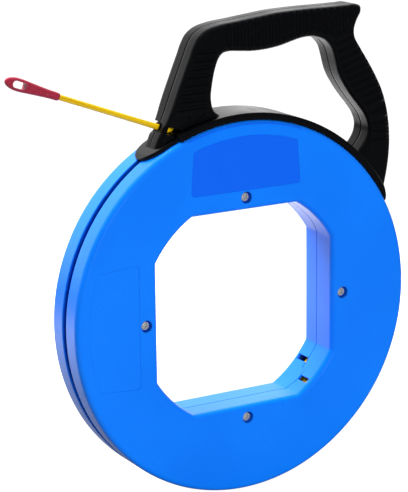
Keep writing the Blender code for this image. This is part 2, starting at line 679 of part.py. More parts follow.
def tape(yellow, crimson):
    """The moving tape: its run inside the case, its free end and the moulded eyelet."""
    run = tube("tape_run", [(RUN_END * i / 16, 0, 0) for i in range(17)], TAPE_R)
    place(run, TAPE_AXIS, yellow)
    start, stop = RUN_END + GAP, COLLAR - GAP
    lead = tube("tape_lead", [(start + (stop - start) * i / 12, 0, 0) for i in range(13)], TAPE_R)
    place(lead, TAPE_AXIS, yellow)

    eyelet = loft("eyelet", [eyelet_ring(a * MM, h * MM, t * MM) for a, h, t in EYELET_SECTIONS])
    low, high = COLLAR + EYELET_SLOT[0], COLLAR + EYELET_SLOT[1] - EYELET_SLOT_HALF
    round_end = arc(EYELET_SLOT_HALF, -90, 90, 7)
    outline = [(low, -EYELET_SLOT_HALF)] + [(high + x, y) for x, y in round_end] + [(low, EYELET_SLOT_HALF)]
    slot = flat_outline("eyelet_slot", outline, -8 * MM, 8 * MM)
    combine(eyelet, as_cutter(slot, TAPE_AXIS), "DIFFERENCE")
    place(eyelet, TAPE_AXIS, crimson)


BLUE_PLASTIC = new_material("blue_plastic", BLUE, 0.3)
BLACK_PLASTIC = new_material("black_plastic", BLACK, 0.45)
FIBREGLASS = new_material("yellow_fibreglass", YELLOW, 0.35)
EYELET_PLASTIC = new_material("crimson_plastic", CRIMSON, 0.4)
SCREW_STEEL = new_material("screw_steel", STEEL, 0.25, 1.0)
ACETAL = new_material("natural_acetal", NATURAL, 0.4)

case(BLUE_PLASTIC, SCREW_STEEL, FIBREGLASS, ACETAL)
shoe_and_sliders(BLACK_PLASTIC, ACETAL, SCREW_STEEL)
handle(BLACK_PLASTIC, SCREW_STEEL, ACETAL)
tape(FIBREGLASS, EYELET_PLASTIC)
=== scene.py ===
import math

import bmesh
import bpy
import mathutils
import numpy as np
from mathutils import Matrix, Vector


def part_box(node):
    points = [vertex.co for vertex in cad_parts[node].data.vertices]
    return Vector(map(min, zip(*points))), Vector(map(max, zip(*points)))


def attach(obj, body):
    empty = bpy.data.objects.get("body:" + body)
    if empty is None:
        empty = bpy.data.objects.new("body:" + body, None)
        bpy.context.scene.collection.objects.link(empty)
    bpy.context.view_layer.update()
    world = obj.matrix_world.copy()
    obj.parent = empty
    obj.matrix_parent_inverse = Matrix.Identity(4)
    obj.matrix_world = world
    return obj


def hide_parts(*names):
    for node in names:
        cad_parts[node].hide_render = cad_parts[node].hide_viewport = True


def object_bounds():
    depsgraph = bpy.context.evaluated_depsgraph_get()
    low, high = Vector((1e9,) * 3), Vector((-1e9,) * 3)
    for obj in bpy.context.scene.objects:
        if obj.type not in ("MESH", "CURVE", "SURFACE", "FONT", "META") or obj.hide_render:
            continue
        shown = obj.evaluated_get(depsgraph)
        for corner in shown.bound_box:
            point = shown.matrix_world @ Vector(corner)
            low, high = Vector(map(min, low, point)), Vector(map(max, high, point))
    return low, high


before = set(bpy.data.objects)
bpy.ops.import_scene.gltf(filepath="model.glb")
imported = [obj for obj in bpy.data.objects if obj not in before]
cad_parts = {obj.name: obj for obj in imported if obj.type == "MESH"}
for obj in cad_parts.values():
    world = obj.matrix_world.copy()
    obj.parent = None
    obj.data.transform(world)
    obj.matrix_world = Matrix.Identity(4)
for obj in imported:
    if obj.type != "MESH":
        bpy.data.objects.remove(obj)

cad_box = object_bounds()
MM = 0.001

# ----------------------------------------------------------
# Case shells. Two dished halves, injection moulded in glossy blue ABS and screwed face to face.
# They leave an open slot round the rim for the shoe's sliders and meet along the square hub wall,
# where the parting line steps near one corner and two slots show the wound tape.

CASE_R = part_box("front_shell")[1][0]
CASE_HALF = -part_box("front_shell")[0][1]
HUB_FLAT = 85.2 * MM
HUB_ARC = 99.2 * MM
HUB_SHARPNESS = 420
HUB_FLARE = 5 * MM
RIM_EDGE = 4.5 * MM
WALL = 2.4 * MM
RIM_SLOT_HALF = 3.25 * MM
SLOT_EDGE = 0.7 * MM
SEAM_GAP = 0.2 * MM
SEAM_EDGE = 0.3 * MM
SCREW_CIRCLE = 96 * MM
SCREW_ANGLES = (90, 180, 0, 270)
BOSS_R = 6.2 * MM
COUNTERBORE_R = 5 * MM
COUNTERBORE_DEPTH = 4.4 * MM
SEAT_R = 3.3 * MM
MOAT = 6 * MM
LABEL_HALF = 52.5 * MM
LABEL_INNER = 102.3 * MM
LABEL_OUTER_R = 148.2 * MM
LABEL_DEPTH = 0.5 * MM
LABEL_CORNER = 4 * MM
WINDOW_HALF_WIDTH = 2.5 * MM
WINDOW_DEPTHS = (0.5 * MM, 16.8 * MM)
WINDOW_ANGLES = {-1: -50.1, 1: -40.4}


def step(low, high, values):
    """Smooth step: 0 below low and 1 above high, with the cubic 3t^2 - 2t^3 between them."""
    t = np.clip((np.asarray(values, float) - low) / (high - low), 0, 1)
    return t * t * (3 - 2 * t)


def grid_mesh(name, points, wrap=True, caps=True):
    """A mesh over points (rows, columns, 3). Each cell of the grid is one quad; wrap joins the last
    column to the first, and caps adds a row at each end where every point is that end's middle."""
    if caps:
        first = np.broadcast_to(points[:1].mean(axis=1, keepdims=True), points[:1].shape)
        last = np.broadcast_to(points[-1:].mean(axis=1, keepdims=True), points[:1].shape)
        points = np.concatenate([first, points, last])
    rows, columns = points.shape[:2]
    number = np.arange(rows * columns).reshape(rows, columns)
    across = np.roll(number, -1, axis=1) if wrap else number[:, 1:]
    near = number if wrap else number[:, :-1]
    faces = np.stack([near[:-1], across[:-1], across[1:], near[1:]], axis=-1).reshape(-1, 4)
    mesh = bpy.data.meshes.new(name)
    mesh.vertices.add(rows * columns)
    mesh.vertices.foreach_set("co", np.asarray(points, np.float32).ravel())
    mesh.loops.add(faces.size)
    mesh.loops.foreach_set("vertex_index", faces.ravel().astype(np.int32))
    mesh.polygons.add(len(faces))
    mesh.polygons.foreach_set("loop_start", np.arange(0, faces.size, 4, dtype=np.int32))
    mesh.update(calc_edges=True)
    return mesh


def closed_ring_mesh(name, points):
    """The same grid with its rows joined in a ring too, as for a closed section carried all round."""
    return grid_mesh(name, np.concatenate([points, points[:1]]), caps=False)


def tidy_mesh(mesh):
    """Merge the points that coincide at seams and poles, and turn every face outwards."""
    work = bmesh.new()
    work.from_mesh(mesh)
    bmesh.ops.remove_doubles(work, verts=work.verts, dist=2e-6)
    bmesh.ops.recalc_face_normals(work, faces=work.faces)
    work.to_mesh(mesh)
    work.free()
    return mesh


def as_object(mesh):
    made = bpy.data.objects.new(mesh.name, tidy_mesh(mesh))
    bpy.context.scene.collection.objects.link(made)
    return made


def joined(name, meshes):
    """One mesh that holds several, which don't touch each other."""
    work = bmesh.new()
    for mesh in meshes:
        work.from_mesh(mesh)
    whole = bpy.data.meshes.new(name)
    work.to_mesh(whole)
    work.free()
    return whole


def carve(piece, cutter_mesh, operation="DIFFERENCE"):
    """Cut or join a closed mesh into a piece, and keep only the result."""
    cutter = as_object(cutter_mesh)
    boolean = piece.modifiers.new("carve", "BOOLEAN")
    boolean.operation = operation
    boolean.solver = "EXACT"
    boolean.object = cutter
    bpy.context.view_layer.update()
    result = bpy.data.meshes.new_from_object(piece.evaluated_get(bpy.context.evaluated_depsgraph_get()))
    piece.modifiers.clear()
    result.name = piece.name
    piece.data = result
    bpy.data.objects.remove(cutter, do_unlink=True)
    return piece


def finish_piece(piece, material, body, stands_for=(), sharp=40):
    """Material, smooth shading with sharp edges past some angle, and the piece's place in the frame."""
    piece.data.materials.clear()
    piece.data.materials.append(material)
    piece.data.shade_smooth()
    piece.data.set_sharp_from_angle(angle=math.radians(sharp))
    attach(piece, body)
    if stands_for:
        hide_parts(*stands_for)
    return piece


def turned_mesh(name, profile, count=48):
    """A lathe shape: each (radius, height) of the profile is carried round the z axis."""
    radius, height = np.asarray(profile, float).T
    turn = np.linspace(0, 2 * np.pi, count, endpoint=False)
    level = np.broadcast_to(height[:, None], (len(height), count))
    points = [radius[:, None] * np.cos(turn), radius[:, None] * np.sin(turn), level]
    return grid_mesh(name, np.stack(points, axis=-1))


def placed(mesh, origin, along, up=(0.0, 0.0, 1.0)):
    """Carry a mesh from its own frame, z along its axis, to origin with z turned to along."""
    along = np.asarray(along, float) / np.linalg.norm(along)
    side = np.cross(up, along)
    if np.linalg.norm(side) < 0.1:
        side = np.cross((1.0, 0.0, 0.0), along)
    side = side / np.linalg.norm(side)
    basis = np.stack([side, np.cross(along, side), along])
    flat = np.empty(len(mesh.vertices) * 3, np.float32)
    mesh.vertices.foreach_get("co", flat)
    moved = flat.reshape(-1, 3) @ basis + np.asarray(origin, float)
    mesh.vertices.foreach_set("co", moved.astype(np.float32).ravel())
    mesh.update()
    return mesh


def ring_point(radius, degrees):
    """A point of the case at some radius and angle from +X, in the X-Z plane."""
    return radius * math.cos(math.radians(degrees)), radius * math.sin(math.radians(degrees))


def hub_radius(angle, grow):
    """The hub's outline: the smaller of a square's and a circle's radius, blended in a high power mean."""
    square = (HUB_FLAT + grow) / np.maximum(np.abs(np.cos(angle)), np.abs(np.sin(angle)))
    circle = HUB_ARC + grow
    ratio = (square / circle) ** HUB_SHARPNESS
    return square * (1 + ratio) ** (-1 / HUB_SHARPNESS)


def seam_depth(degrees):
    """Where the halves meet on the hub wall: y against the angle, with one sharp jog by the windows."""
    wrapped = (degrees + 180) % 360 - 180
    high = step(-64, -56, wrapped) * -1.9 + step(-56, -54, wrapped) * -1.6
    high = high + step(-45.35, -45.05, wrapped) * 5.5 + step(30, 38, wrapped) * -3.4
    return (high + step(60, 80, wrapped) * 1.4) * MM


def shell_mesh(name, side):
    """A closed profile carried round the case. Its inner points follow the hub's outline and its outer
    ones circles; between them on the faces the radius is a straight blend of the two."""
    corners = np.array([90 * k + 45 + s * 14.19 for k in range(4) for s in (-1, 1)])
    close = np.array([-2.4, -1.6, -1.0, -0.6, -0.3, 0.0, 0.3, 0.6, 1.0, 1.6, 2.4])
    seam = np.array([314.5, 314.65, 314.8, 314.95, 315.1])
    degrees = np.concatenate([np.arange(0, 360, 1.5), (corners[:, None] + close).ravel(), seam])
    degrees = np.unique(np.round(degrees % 360, 2))
    degrees = degrees[np.diff(degrees, append=360) > 0.12]
    angle = np.radians(degrees)

    quarter = np.radians(np.linspace(0, 90, 10))
    face = CASE_HALF
    inside = CASE_HALF - WALL
    edge_r, edge_d = CASE_R - RIM_EDGE, CASE_HALF - RIM_EDGE
    support = 0.5 * MM
    rows = []

    def hub(grow, depth, at_seam=False):
        rows.append((0.0, grow, 0.0, depth, at_seam))

    def rim(radius, depth):
        rows.append((1.0, 0.0, radius, depth, False))

    hub(SEAM_EDGE, 0, True)
    hub(SEAM_EDGE * 0.3, SEAM_EDGE * 0.3, True)
    hub(0, SEAM_EDGE, True)
    hub(0, SEAM_EDGE + support, True)
    for depth in (8, 12, 17):
        hub(0, depth * MM)
    for t in quarter:
        hub(HUB_FLARE * (1 - math.cos(t)), CASE_HALF - HUB_FLARE + HUB_FLARE * math.sin(t))
    hub(HUB_FLARE + support, face)
    for share in (0.25, 0.5, 0.75):
        rows.append((share, HUB_FLARE, edge_r, face, False))
    rim(edge_r - support, face)
    for t in quarter:
        rim(edge_r + RIM_EDGE * math.sin(t), edge_d + RIM_EDGE * math.cos(t))
    rim(CASE_R, edge_d - support)
    rim(CASE_R, RIM_SLOT_HALF + SLOT_EDGE + support)
    for t in quarter[::3]:
        rim(CASE_R - SLOT_EDGE * (1 - math.cos(t)), RIM_SLOT_HALF + SLOT_EDGE * (1 - math.sin(t)))
    rim(CASE_R - WALL, RIM_SLOT_HALF)
    rim(CASE_R - WALL, inside)
    rows.append((0.5, WALL, CASE_R - WALL, inside, False))
    hub(WALL, inside)
    hub(WALL, 6 * MM)
    hub(WALL, 0, True)

    share, grow, rim_r, depth, at_seam = (np.array(column, float)[:, None] for column in zip(*rows))
    radius = (1 - share) * hub_radius(angle, grow) + share * rim_r
    seam_here = side * seam_depth(degrees) + SEAM_GAP
    out = depth + at_seam * seam_here
    points = np.stack([radius * np.cos(angle), side * out, radius * np.sin(angle)], axis=-1)
    return closed_ring_mesh(name, points)


def offset_ring(outline, distance):
    """A closed outline moved outwards by some distance along its own normals."""
    along = np.roll(outline, -1, axis=0) - np.roll(outline, 1, axis=0)
    along /= np.linalg.norm(along, axis=1, keepdims=True)
    return outline + distance * np.stack([along[:, 1], -along[:, 0]], axis=1)


def rounded_outline(corners, radius, count=7):
    """A polygon whose corners become quadratic curves between points at some distance before and after."""
    corners = np.asarray(corners, float)
    before = np.roll(corners, 1, axis=0) - corners
    after = np.roll(corners, -1, axis=0) - corners
    before_length = np.linalg.norm(before, axis=1, keepdims=True)
    after_length = np.linalg.norm(after, axis=1, keepdims=True)
    reach = np.minimum(radius, 0.45 * np.minimum(before_length, after_length))
    start = corners + before / before_length * reach
    stop = corners + after / after_length * reach
    t = np.linspace(0, 1, count)[None, :, None]
    curve = (1 - t) ** 2 * start[:, None] + 2 * t * (1 - t) * corners[:, None] + t**2 * stop[:, None]
    return curve.reshape(-1, 2)


def plate_mesh(name, outline, levels):
    """An outline in the X-Z plane carried through levels of (y, distance moved outwards)."""
    rings = []
    for y, moved in levels:
        ring = offset_ring(outline, moved)
        rings.append(np.column_stack([ring[:, 0], np.full(len(ring), y), ring[:, 1]]))
    return grid_mesh(name, np.stack(rings))


def label_outline():
    """Straight inner edge and sides, and an outer edge on a circle about the case's axis."""
    lean = math.acos(LABEL_HALF / LABEL_OUTER_R)
    turn = np.linspace(lean, math.pi - lean, 40)
    top = LABEL_OUTER_R * np.column_stack([np.cos(turn), np.sin(turn)])
    corners = [(-LABEL_HALF, LABEL_INNER), (LABEL_HALF, LABEL_INNER), top[0], top[-1]]
    lower_corners = rounded_outline(corners, LABEL_CORNER)[:14]
    return np.concatenate([lower_corners, top[1:-1]])


def label_cutter(side, turn):
    """A label's recess, with a small chamfer round its edge."""
    c, s = math.cos(math.radians(turn)), math.sin(math.radians(turn))
    outline = label_outline() @ np.array([[c, s], [-s, c]])
    levels = ((-LABEL_DEPTH, -0.3 * MM), (-0.2 * MM, 0.0), (0.1 * MM, 0.3 * MM), (1 * MM, 0.3 * MM))
    return plate_mesh("label", outline, [(side * (CASE_HALF + depth), moved) for depth, moved in levels])


def bore_mesh(profile, radius, degrees, side):
    """A turned cutter or boss beside the hub; profile heights are depths from the case's middle."""
    x, z = ring_point(radius, degrees)
    return placed(turned_mesh("bore", profile, 40), (x, 0, z), (0, side, 0))


def window_mesh(side):
    """The slot through the hub wall, square to the wall where it stands."""
    angle = math.radians(WINDOW_ANGLES[side])
    out, across = np.array([math.cos(angle), math.sin(angle)]), np.array([-math.sin(angle), math.cos(angle)])
    near, far = HUB_ARC - 3 * MM, HUB_ARC + WALL + 1.5 * MM
    corners = [(near, -1), (far, -1), (far, 1), (near, 1)]
    outline = np.array([r * out + s * WINDOW_HALF_WIDTH * across for r, s in corners])
    return plate_mesh("window", outline, [(side * d, 0) for d in WINDOW_DEPTHS])


def new_nodes(name):
    """An empty node material and its tree and shader."""
    material = bpy.data.materials.new(name)
    material.use_nodes = True
    return material, material.node_tree, material.node_tree.nodes["Principled BSDF"]


def put(tree, kind, inputs, **settings):
    """Add a node: each input is another node's socket, which is linked, or a value."""
    made = tree.nodes.new(kind)
    for key, value in settings.items():
        setattr(made, key, value)
    for key, value in inputs.items():
        if isinstance(value, bpy.types.NodeSocket):
            tree.links.new(value, made.inputs[key])
        else:
            made.inputs[key].default_value = value
    return made


def read_point(tree, kind="Object"):
    """The object's own coordinates, or those of its UV map."""
    return put(tree, "ShaderNodeTexCoord", {}).outputs[kind]


def math_node(tree, operation, a, b=0.0):
    """One step of arithmetic on two values."""
    return put(tree, "ShaderNodeMath", {0: a, 1: b}, operation=operation).outputs[0]


def times(tree, a, b):
    """Two values multiplied."""
    return math_node(tree, "MULTIPLY", a, b)


def ramp(tree, value, low, high, out_low=0.0, out_high=1.0):
    """A value carried from one range to another in a smooth step, and held at its ends."""
    inputs = {"Value": value, "From Min": low, "From Max": high, "To Min": out_low, "To Max": out_high}
    return put(tree, "ShaderNodeMapRange", inputs, interpolation_type="SMOOTHSTEP").outputs[0]


def tint(tree, share, first, second):
    """A colour between two by some share; each is another node's socket or three numbers."""
    ends = [(*colour, 1) if isinstance(colour, tuple) else colour for colour in (first, second)]
    return put(tree, "ShaderNodeMix", {0: share, 6: ends[0], 7: ends[1]}, data_type="RGBA").outputs[2]


def noise(tree, where, scale, detail=2.0, roughness=0.5):
    """Fractal noise at a scale in cycles a metre."""
    inputs = {"Vector": where, "Scale": scale, "Detail": detail, "Roughness": roughness}
    return put(tree, "ShaderNodeTexNoise", inputs).outputs[0]


def roughen(tree, shader, strength, distance, height):
    """Bump of some height on a shader's surface."""
    inputs = {"Strength": strength, "Distance": distance, "Height": height}
    tree.links.new(put(tree, "ShaderNodeBump", inputs).outputs[0], shader.inputs["Normal"])


def recoat(node, material):
    """Give a CAD node that stays in view a better material."""
    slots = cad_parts[node].data.materials
    slots.clear()
    slots.append(material)


def stretched(tree, where, scale, turn=(0, 0, 0)):
    """Coordinates turned and then scaled, for streaks."""
    turned = put(tree, "ShaderNodeMapping", {"Vector": where, "Rotation": turn}).outputs[0]
    return put(tree, "ShaderNodeMapping", {"Vector": turned, "Scale": scale}).outputs[0]


CASE_BLUE = (0.003, 0.190, 0.93)
CASE_BLUE_DEEP = (0.0025, 0.175, 0.88)
LABEL_BLUE = (0.003, 0.118, 0.82)
SCUFF_BLUE = (0.05, 0.27, 0.95)
LABEL_TINT_INNER = (97 * MM, 101 * MM)
LABEL_TINT_SIDE = (53.5 * MM, 55 * MM)
LABEL_TINT_DEPTH = (0.2 * MM, 0.45 * MM)
LABEL_TINT_UNDER = (0.9 * MM, 1.2 * MM)


def blue_abs():
    """Glossy blue ABS: faint clouding of the pigment, a deeper label, slight orange peel, hairline
    scratches on the faces, and dull scuffs where the rim rubs on the floor."""
    material, tree, shader = new_nodes("blue_abs")
    where = read_point(tree)
    cloud = noise(tree, where, 11, 3)
    colour = tint(tree, ramp(tree, cloud, 0.35, 0.65), CASE_BLUE, CASE_BLUE_DEEP)

    split = put(tree, "ShaderNodeSeparateXYZ", {0: where}).outputs
    side_way, depth_way, up_way = (math_node(tree, "ABSOLUTE", socket) for socket in split)
    sunk, kept = (CASE_HALF - LABEL_TINT_DEPTH[1], CASE_HALF - LABEL_TINT_DEPTH[0]), LABEL_TINT_UNDER
    on_label = times(tree, ramp(tree, depth_way, *sunk, 1.0, 0.0), ramp(tree, split[2], *LABEL_TINT_INNER))
    on_label = times(tree, on_label, ramp(tree, side_way, *LABEL_TINT_SIDE, 1.0, 0.0))
    on_label = times(tree, on_label, ramp(tree, depth_way, CASE_HALF - kept[1], CASE_HALF - kept[0]))
    colour = tint(tree, on_label, colour, LABEL_BLUE)
    squares = [math_node(tree, "POWER", way, 2.0) for way in (side_way, up_way)]
    radius = math_node(tree, "SQRT", math_node(tree, "ADD", *squares))
    at_rim = ramp(tree, radius, CASE_R - 3.5 * MM, CASE_R - 0.2 * MM)
    rubbed = ramp(tree, noise(tree, where, 160, 6, 0.65), 0.56, 0.72)
    scuff = times(tree, at_rim, rubbed)
    tree.links.new(tint(tree, times(tree, scuff, 0.3), colour, SCUFF_BLUE), shader.inputs["Base Color"])

    hairs = noise(tree, stretched(tree, where, (900, 900, 26), (0, 0.6, 0)), 1.0, 2)
    more_hairs = noise(tree, stretched(tree, where, (22, 700, 800), (0, -0.35, 0)), 1.0, 2)
    scratch = math_node(tree, "MAXIMUM", ramp(tree, hairs, 0.68, 0.74), ramp(tree, more_hairs, 0.69, 0.75))
    gloss = ramp(tree, cloud, 0.3, 0.7, 0.27, 0.31)
    dull = math_node(tree, "ADD", gloss, times(tree, scratch, 0.04))
    duller = math_node(tree, "ADD", dull, times(tree, scuff, 0.2))
    tree.links.new(duller, shader.inputs["Roughness"])

    peel = noise(tree, where, 620, 2)
    depth = math_node(tree, "SUBTRACT", peel, times(tree, scratch, 0.08))
    roughen(tree, shader, 0.09, 0.0002, depth)
    shader.inputs["Specular IOR Level"].default_value = 0.3
    return material


SCREW_HOLE_R = 2.3 * MM
SCREW_HOLE_END = 16 * MM
BLUE_ABS = blue_abs()
for side, node in ((-1, "front_shell"), (1, "rear_shell")):
    shell = as_object(shell_mesh(f"{node}_moulding", side))
    boss_depths = (SEAM_GAP, CASE_HALF - WALL / 2)
    bosses = [bore_mesh([(BOSS_R, d) for d in boss_depths], SCREW_CIRCLE, a, side) for a in SCREW_ANGLES]
    carve(shell, joined("bosses", bosses), "UNION")
    seat = CASE_HALF - COUNTERBORE_DEPTH
    mouth_r = COUNTERBORE_R + 0.5 * MM
    front_bore = [(SCREW_HOLE_R, -1 * MM), (SCREW_HOLE_R, seat), (SEAT_R, seat), (SEAT_R, seat - MOAT)]
    front_bore += [(COUNTERBORE_R, seat - MOAT), (COUNTERBORE_R, CASE_HALF - 0.4 * MM)]
    front_bore += [(mouth_r, CASE_HALF + 0.1 * MM), (mouth_r, CASE_HALF + 1 * MM)]
    rear_bore = [(SCREW_HOLE_R, -1 * MM), (SCREW_HOLE_R, SCREW_HOLE_END)]
    cuts = [bore_mesh(front_bore if side < 0 else rear_bore, SCREW_CIRCLE, a, side) for a in SCREW_ANGLES]
    cuts += [label_cutter(side, 0), label_cutter(side, 90), window_mesh(side)]
    carve(shell, joined("cuts", [tidy_mesh(cut) for cut in cuts]))
    finish_piece(shell, BLUE_ABS, "case", [node], 32)

# ----------------------------------------------------------
# Wound tape. The stored fibreglass rod lies in turns round the hub wall, one layer on another,
# and springs out against itself. Its inner end runs into a moulded anchor held by one screw.

TAPE_R = 2.4 * MM
COIL_FIRST_R = 106.4 * MM
LAYER_PITCH = 4.1 * MM
COIL_EDGE = 14.4 * MM
TURNS_PER_LAYER = 6
COIL_LAYERS = 4
TAIL = ((27.6 * MM, -92.8 * MM), (50 * MM, -92.8 * MM))


def tube_mesh(name, path, radius, sides):
    """A round tube along a path: at each point a circle square to the path, in a frame that leans on the
    case's axis, so the circles don't twist. Its UV is the length along it and the turn round it."""
    path = np.asarray(path, float)
    along = np.gradient(path, axis=0)
    along /= np.linalg.norm(along, axis=1, keepdims=True)
    side = np.cross(along, (0.0, 1.0, 0.0))
    side /= np.linalg.norm(side, axis=1, keepdims=True)
    other = np.cross(side, along)
    turn = np.linspace(0, 2 * np.pi, sides + 1)
    round_it = side[:, None] * np.cos(turn)[:, None] + other[:, None] * np.sin(turn)[:, None]
    points = path[:, None] + radius * round_it
    mesh = grid_mesh(name, points, wrap=False, caps=True)
    travelled = np.concatenate([[0], np.cumsum(np.linalg.norm(np.diff(path, axis=0), axis=1))])
    travelled = np.concatenate([[0], travelled, travelled[-1:]])
    uv = np.stack(np.broadcast_arrays(travelled[:, None], turn * radius), axis=-1).reshape(-1, 2)
    corner = np.empty(len(mesh.loops), np.int32)
    mesh.loops.foreach_get("vertex_index", corner)
    layer = mesh.uv_layers.new(name="length")
    layer.data.foreach_set("uv", uv[corner].astype(np.float32).ravel())
    return mesh


def coil_path():
    """Turns round the hub: the angle grows evenly, y sweeps from side to side once a layer, the radius
    climbs a step between layers, and small slow waves keep the turns from lying like machine thread."""
    turns = TURNS_PER_LAYER * COIL_LAYERS
    angle = np.linspace(0, 2 * np.pi * turns, 90 * turns)
    layer = angle / (2 * np.pi * TURNS_PER_LAYER)
    whole = np.floor(layer)
    sweep = layer - whole
    up = np.where(whole % 2 == 0, sweep, 1 - sweep)
    radius = COIL_FIRST_R + LAYER_PITCH * (whole + step(0.9, 1.0, sweep))
    radius = radius + 0.15 * MM * np.sin(angle * 1.37) + 0.1 * MM * np.sin(angle * 3.1 + 1)
    radius = np.clip(radius, None, 118.6 * MM)
    y = (2 * up - 1) * COIL_EDGE + 0.35 * MM * np.sin(angle * 0.83 + 2)
    start = math.radians(-60.8)
    turn = start + angle
    return np.stack([radius * np.cos(turn), y, radius * np.sin(turn)], axis=1)


TAPE_YELLOW = (0.72, 0.47, 0.004)
TAPE_AMBER = (0.5, 0.27, 0.003)


def fibreglass_rod():
    """Pultruded fibreglass in yellow resin: long fine fibres just under a clear gloss skin, a few
    darker streaks, and handling marks that dull it in patches."""
    material, tree, shader = new_nodes("yellow_fibreglass_rod")
    where = read_point(tree, "UV")
    fibre = noise(tree, stretched(tree, where, (26, 1700, 1)), 1.0, 3)
    streak = noise(tree, stretched(tree, where, (7, 520, 1)), 1.0, 2)
    patch = noise(tree, stretched(tree, where, (34, 60, 1)), 1.0, 3)
    share = times(tree, ramp(tree, streak, 0.42, 0.72), ramp(tree, fibre, 0.3, 0.7, 0.25, 0.85))
    tree.links.new(tint(tree, share, TAPE_YELLOW, TAPE_AMBER), shader.inputs["Base Color"])
    tree.links.new(ramp(tree, patch, 0.35, 0.7, 0.3, 0.46), shader.inputs["Roughness"])
    roughen(tree, shader, 0.3, 0.0001, fibre)
    shader.inputs["Subsurface Weight"].default_value = 0.06
    shader.inputs["Subsurface Radius"].default_value = (0.002, 0.0012, 0.0003)
    shader.inputs["Coat Weight"].default_value = 0.3
    shader.inputs["Coat Roughness"].default_value = 0.2
    return material


FIBREGLASS = fibreglass_rod()
wound = as_object(tube_mesh("tape_coil_turns", coil_path(), TAPE_R, 10))
finish_piece(wound, FIBREGLASS, "case", ["tape_coil"], 60)
tail_x = np.linspace(TAIL[0][0], TAIL[1][0], 12)
tail_share = np.linspace(0, 1, 12)
tail_y = -COIL_EDGE * tail_share * step(0, 1, tail_share)
tail_line = np.column_stack([tail_x, tail_y, np.full(12, TAIL[0][1])])
tail = as_object(tube_mesh("tape_inner_end", tail_line, TAPE_R, 16))
finish_piece(tail, FIBREGLASS, "case", (), 60)


def acetal():
    """Unpainted acetal: waxy off-white, faintly clouded, with a satin skin."""
    material, tree, shader = new_nodes("natural_acetal")
    where = read_point(tree)
    cloud = noise(tree, where, 90, 3)
    tree.links.new(tint(tree, cloud, (0.74, 0.72, 0.65), (0.66, 0.64, 0.57)), shader.inputs["Base Color"])
    tree.links.new(ramp(tree, cloud, 0.3, 0.7, 0.36, 0.48), shader.inputs["Roughness"])
    roughen(tree, shader, 0.1, 0.0002, noise(tree, where, 900))
    shader.inputs["Subsurface Weight"].default_value = 0.1
    shader.inputs["Subsurface Radius"].default_value = (0.002, 0.002, 0.0015)
    return material


ACETAL = acetal()
for node in ("tape_anchor", "front_slider", "rear_slider"):
    recoat(node, ACETAL)

# ----------------------------------------------------------
# Screws. Zinc-plated pan heads with a cross recess: four long ones through the case, four in the
# back of the handle, three that hold the sliders and one for the tape's anchor.

HEAD_R = 3.7 * MM
HEAD_HEIGHT = 2.2 * MM
SHANK_R = 2 * MM
CASE_SCREW_LENGTH = 32 * MM
HANDLE_SCREW_LENGTH = 20 * MM
CROSS_HALF_WIDTH = 0.1512  # Of the head's radius
CROSS_LEVELS = ((0.3, 0.42), (0.9, 0.7), (1.3, 0.8))  # Of the head's height, and of its radius


def screw_mesh(name, head_r, head, shank_r, length):
    """A domed head over a threaded shank. The head is turned from part of a sphere; the shank's radius
    rises and falls with its height, which reads as thread; the cross is cut with tapered blades."""
    crown = np.radians(np.linspace(0, 88, 9))
    dome = [(head_r * math.sin(t), head * (0.42 + 0.58 * math.cos(t))) for t in crown]
    low = [(head_r, 0.12 * head), (head_r - 0.15 * MM, 0.0), (shank_r, 0.0)]
    depth = np.linspace(-0.6 * MM, -length + 2.4 * MM, 64)
    thread = [(shank_r * (0.93 + 0.07 * math.cos(2 * math.pi * d / (1.1 * MM))), d) for d in depth]
    tip = [(shank_r * 0.55, -length + 0.5 * MM), (0.0, -length)]
    body = as_object(turned_mesh(name, dome + low + [(shank_r, -0.4 * MM)] + thread + tip, 40))
    for turn in (0.0, math.pi / 2):
        c, s = math.cos(turn), math.sin(turn)
        blade = []
        for rise, reach in CROSS_LEVELS:
            x = head_r * reach * np.array([-1, 1, 1, -1])
            y = head_r * CROSS_HALF_WIDTH * np.array([-1, -1, 1, 1])
            blade.append(np.column_stack([x * c - y * s, x * s + y * c, np.full(4, head * rise)]))
        carve(body, grid_mesh("blade", np.stack(blade)))
    mesh = body.data
    bpy.data.objects.remove(body, do_unlink=True)
    return mesh


def zinc_steel():
    """Bright zinc over steel: soft crystalline blotches and fine wear."""
    material, tree, shader = new_nodes("zinc_steel")
    where = read_point(tree)
    blotch = noise(tree, where, 1400, 3)
    tree.links.new(tint(tree, blotch, (0.72, 0.72, 0.70), (0.5, 0.52, 0.54)), shader.inputs["Base Color"])
    tree.links.new(ramp(tree, blotch, 0.3, 0.7, 0.2, 0.36), shader.inputs["Roughness"])
    roughen(tree, shader, 0.12, 0.0001, noise(tree, where, 3000))
    shader.inputs["Metallic"].default_value = 0.55
    return material


ZINC = zinc_steel()
case_screw = screw_mesh("case_screw", HEAD_R, HEAD_HEIGHT, SHANK_R, CASE_SCREW_LENGTH)
for number, angle in enumerate(SCREW_ANGLES, 1):
    x, z = ring_point(SCREW_CIRCLE, angle)
    seat_y = -(CASE_HALF - COUNTERBORE_DEPTH + 0.05 * MM)
    turn = math.radians((38, 12, 64, 25)[number - 1])
    mesh = placed(case_screw.copy(), (x, seat_y, z), (0, -1, 0), (math.sin(turn), 0, math.cos(turn)))
    mesh.name = f"case_screw_{number}_body"
    finish_piece(as_object(mesh), ZINC, "case", [f"case_screw_{number}"], 35)
for node in ("front_slider_screw_1", "rear_slider_screw_1", "rear_slider_screw_2", "anchor_screw"):
    recoat(node, ZINC)

# ----------------------------------------------------------
# Shoe. A strap of black nylon that rides the rim under the whole handle and ends in a rounded
# tongue round the front post; sliders in the rim slot hold it, and the tape passes up through it.

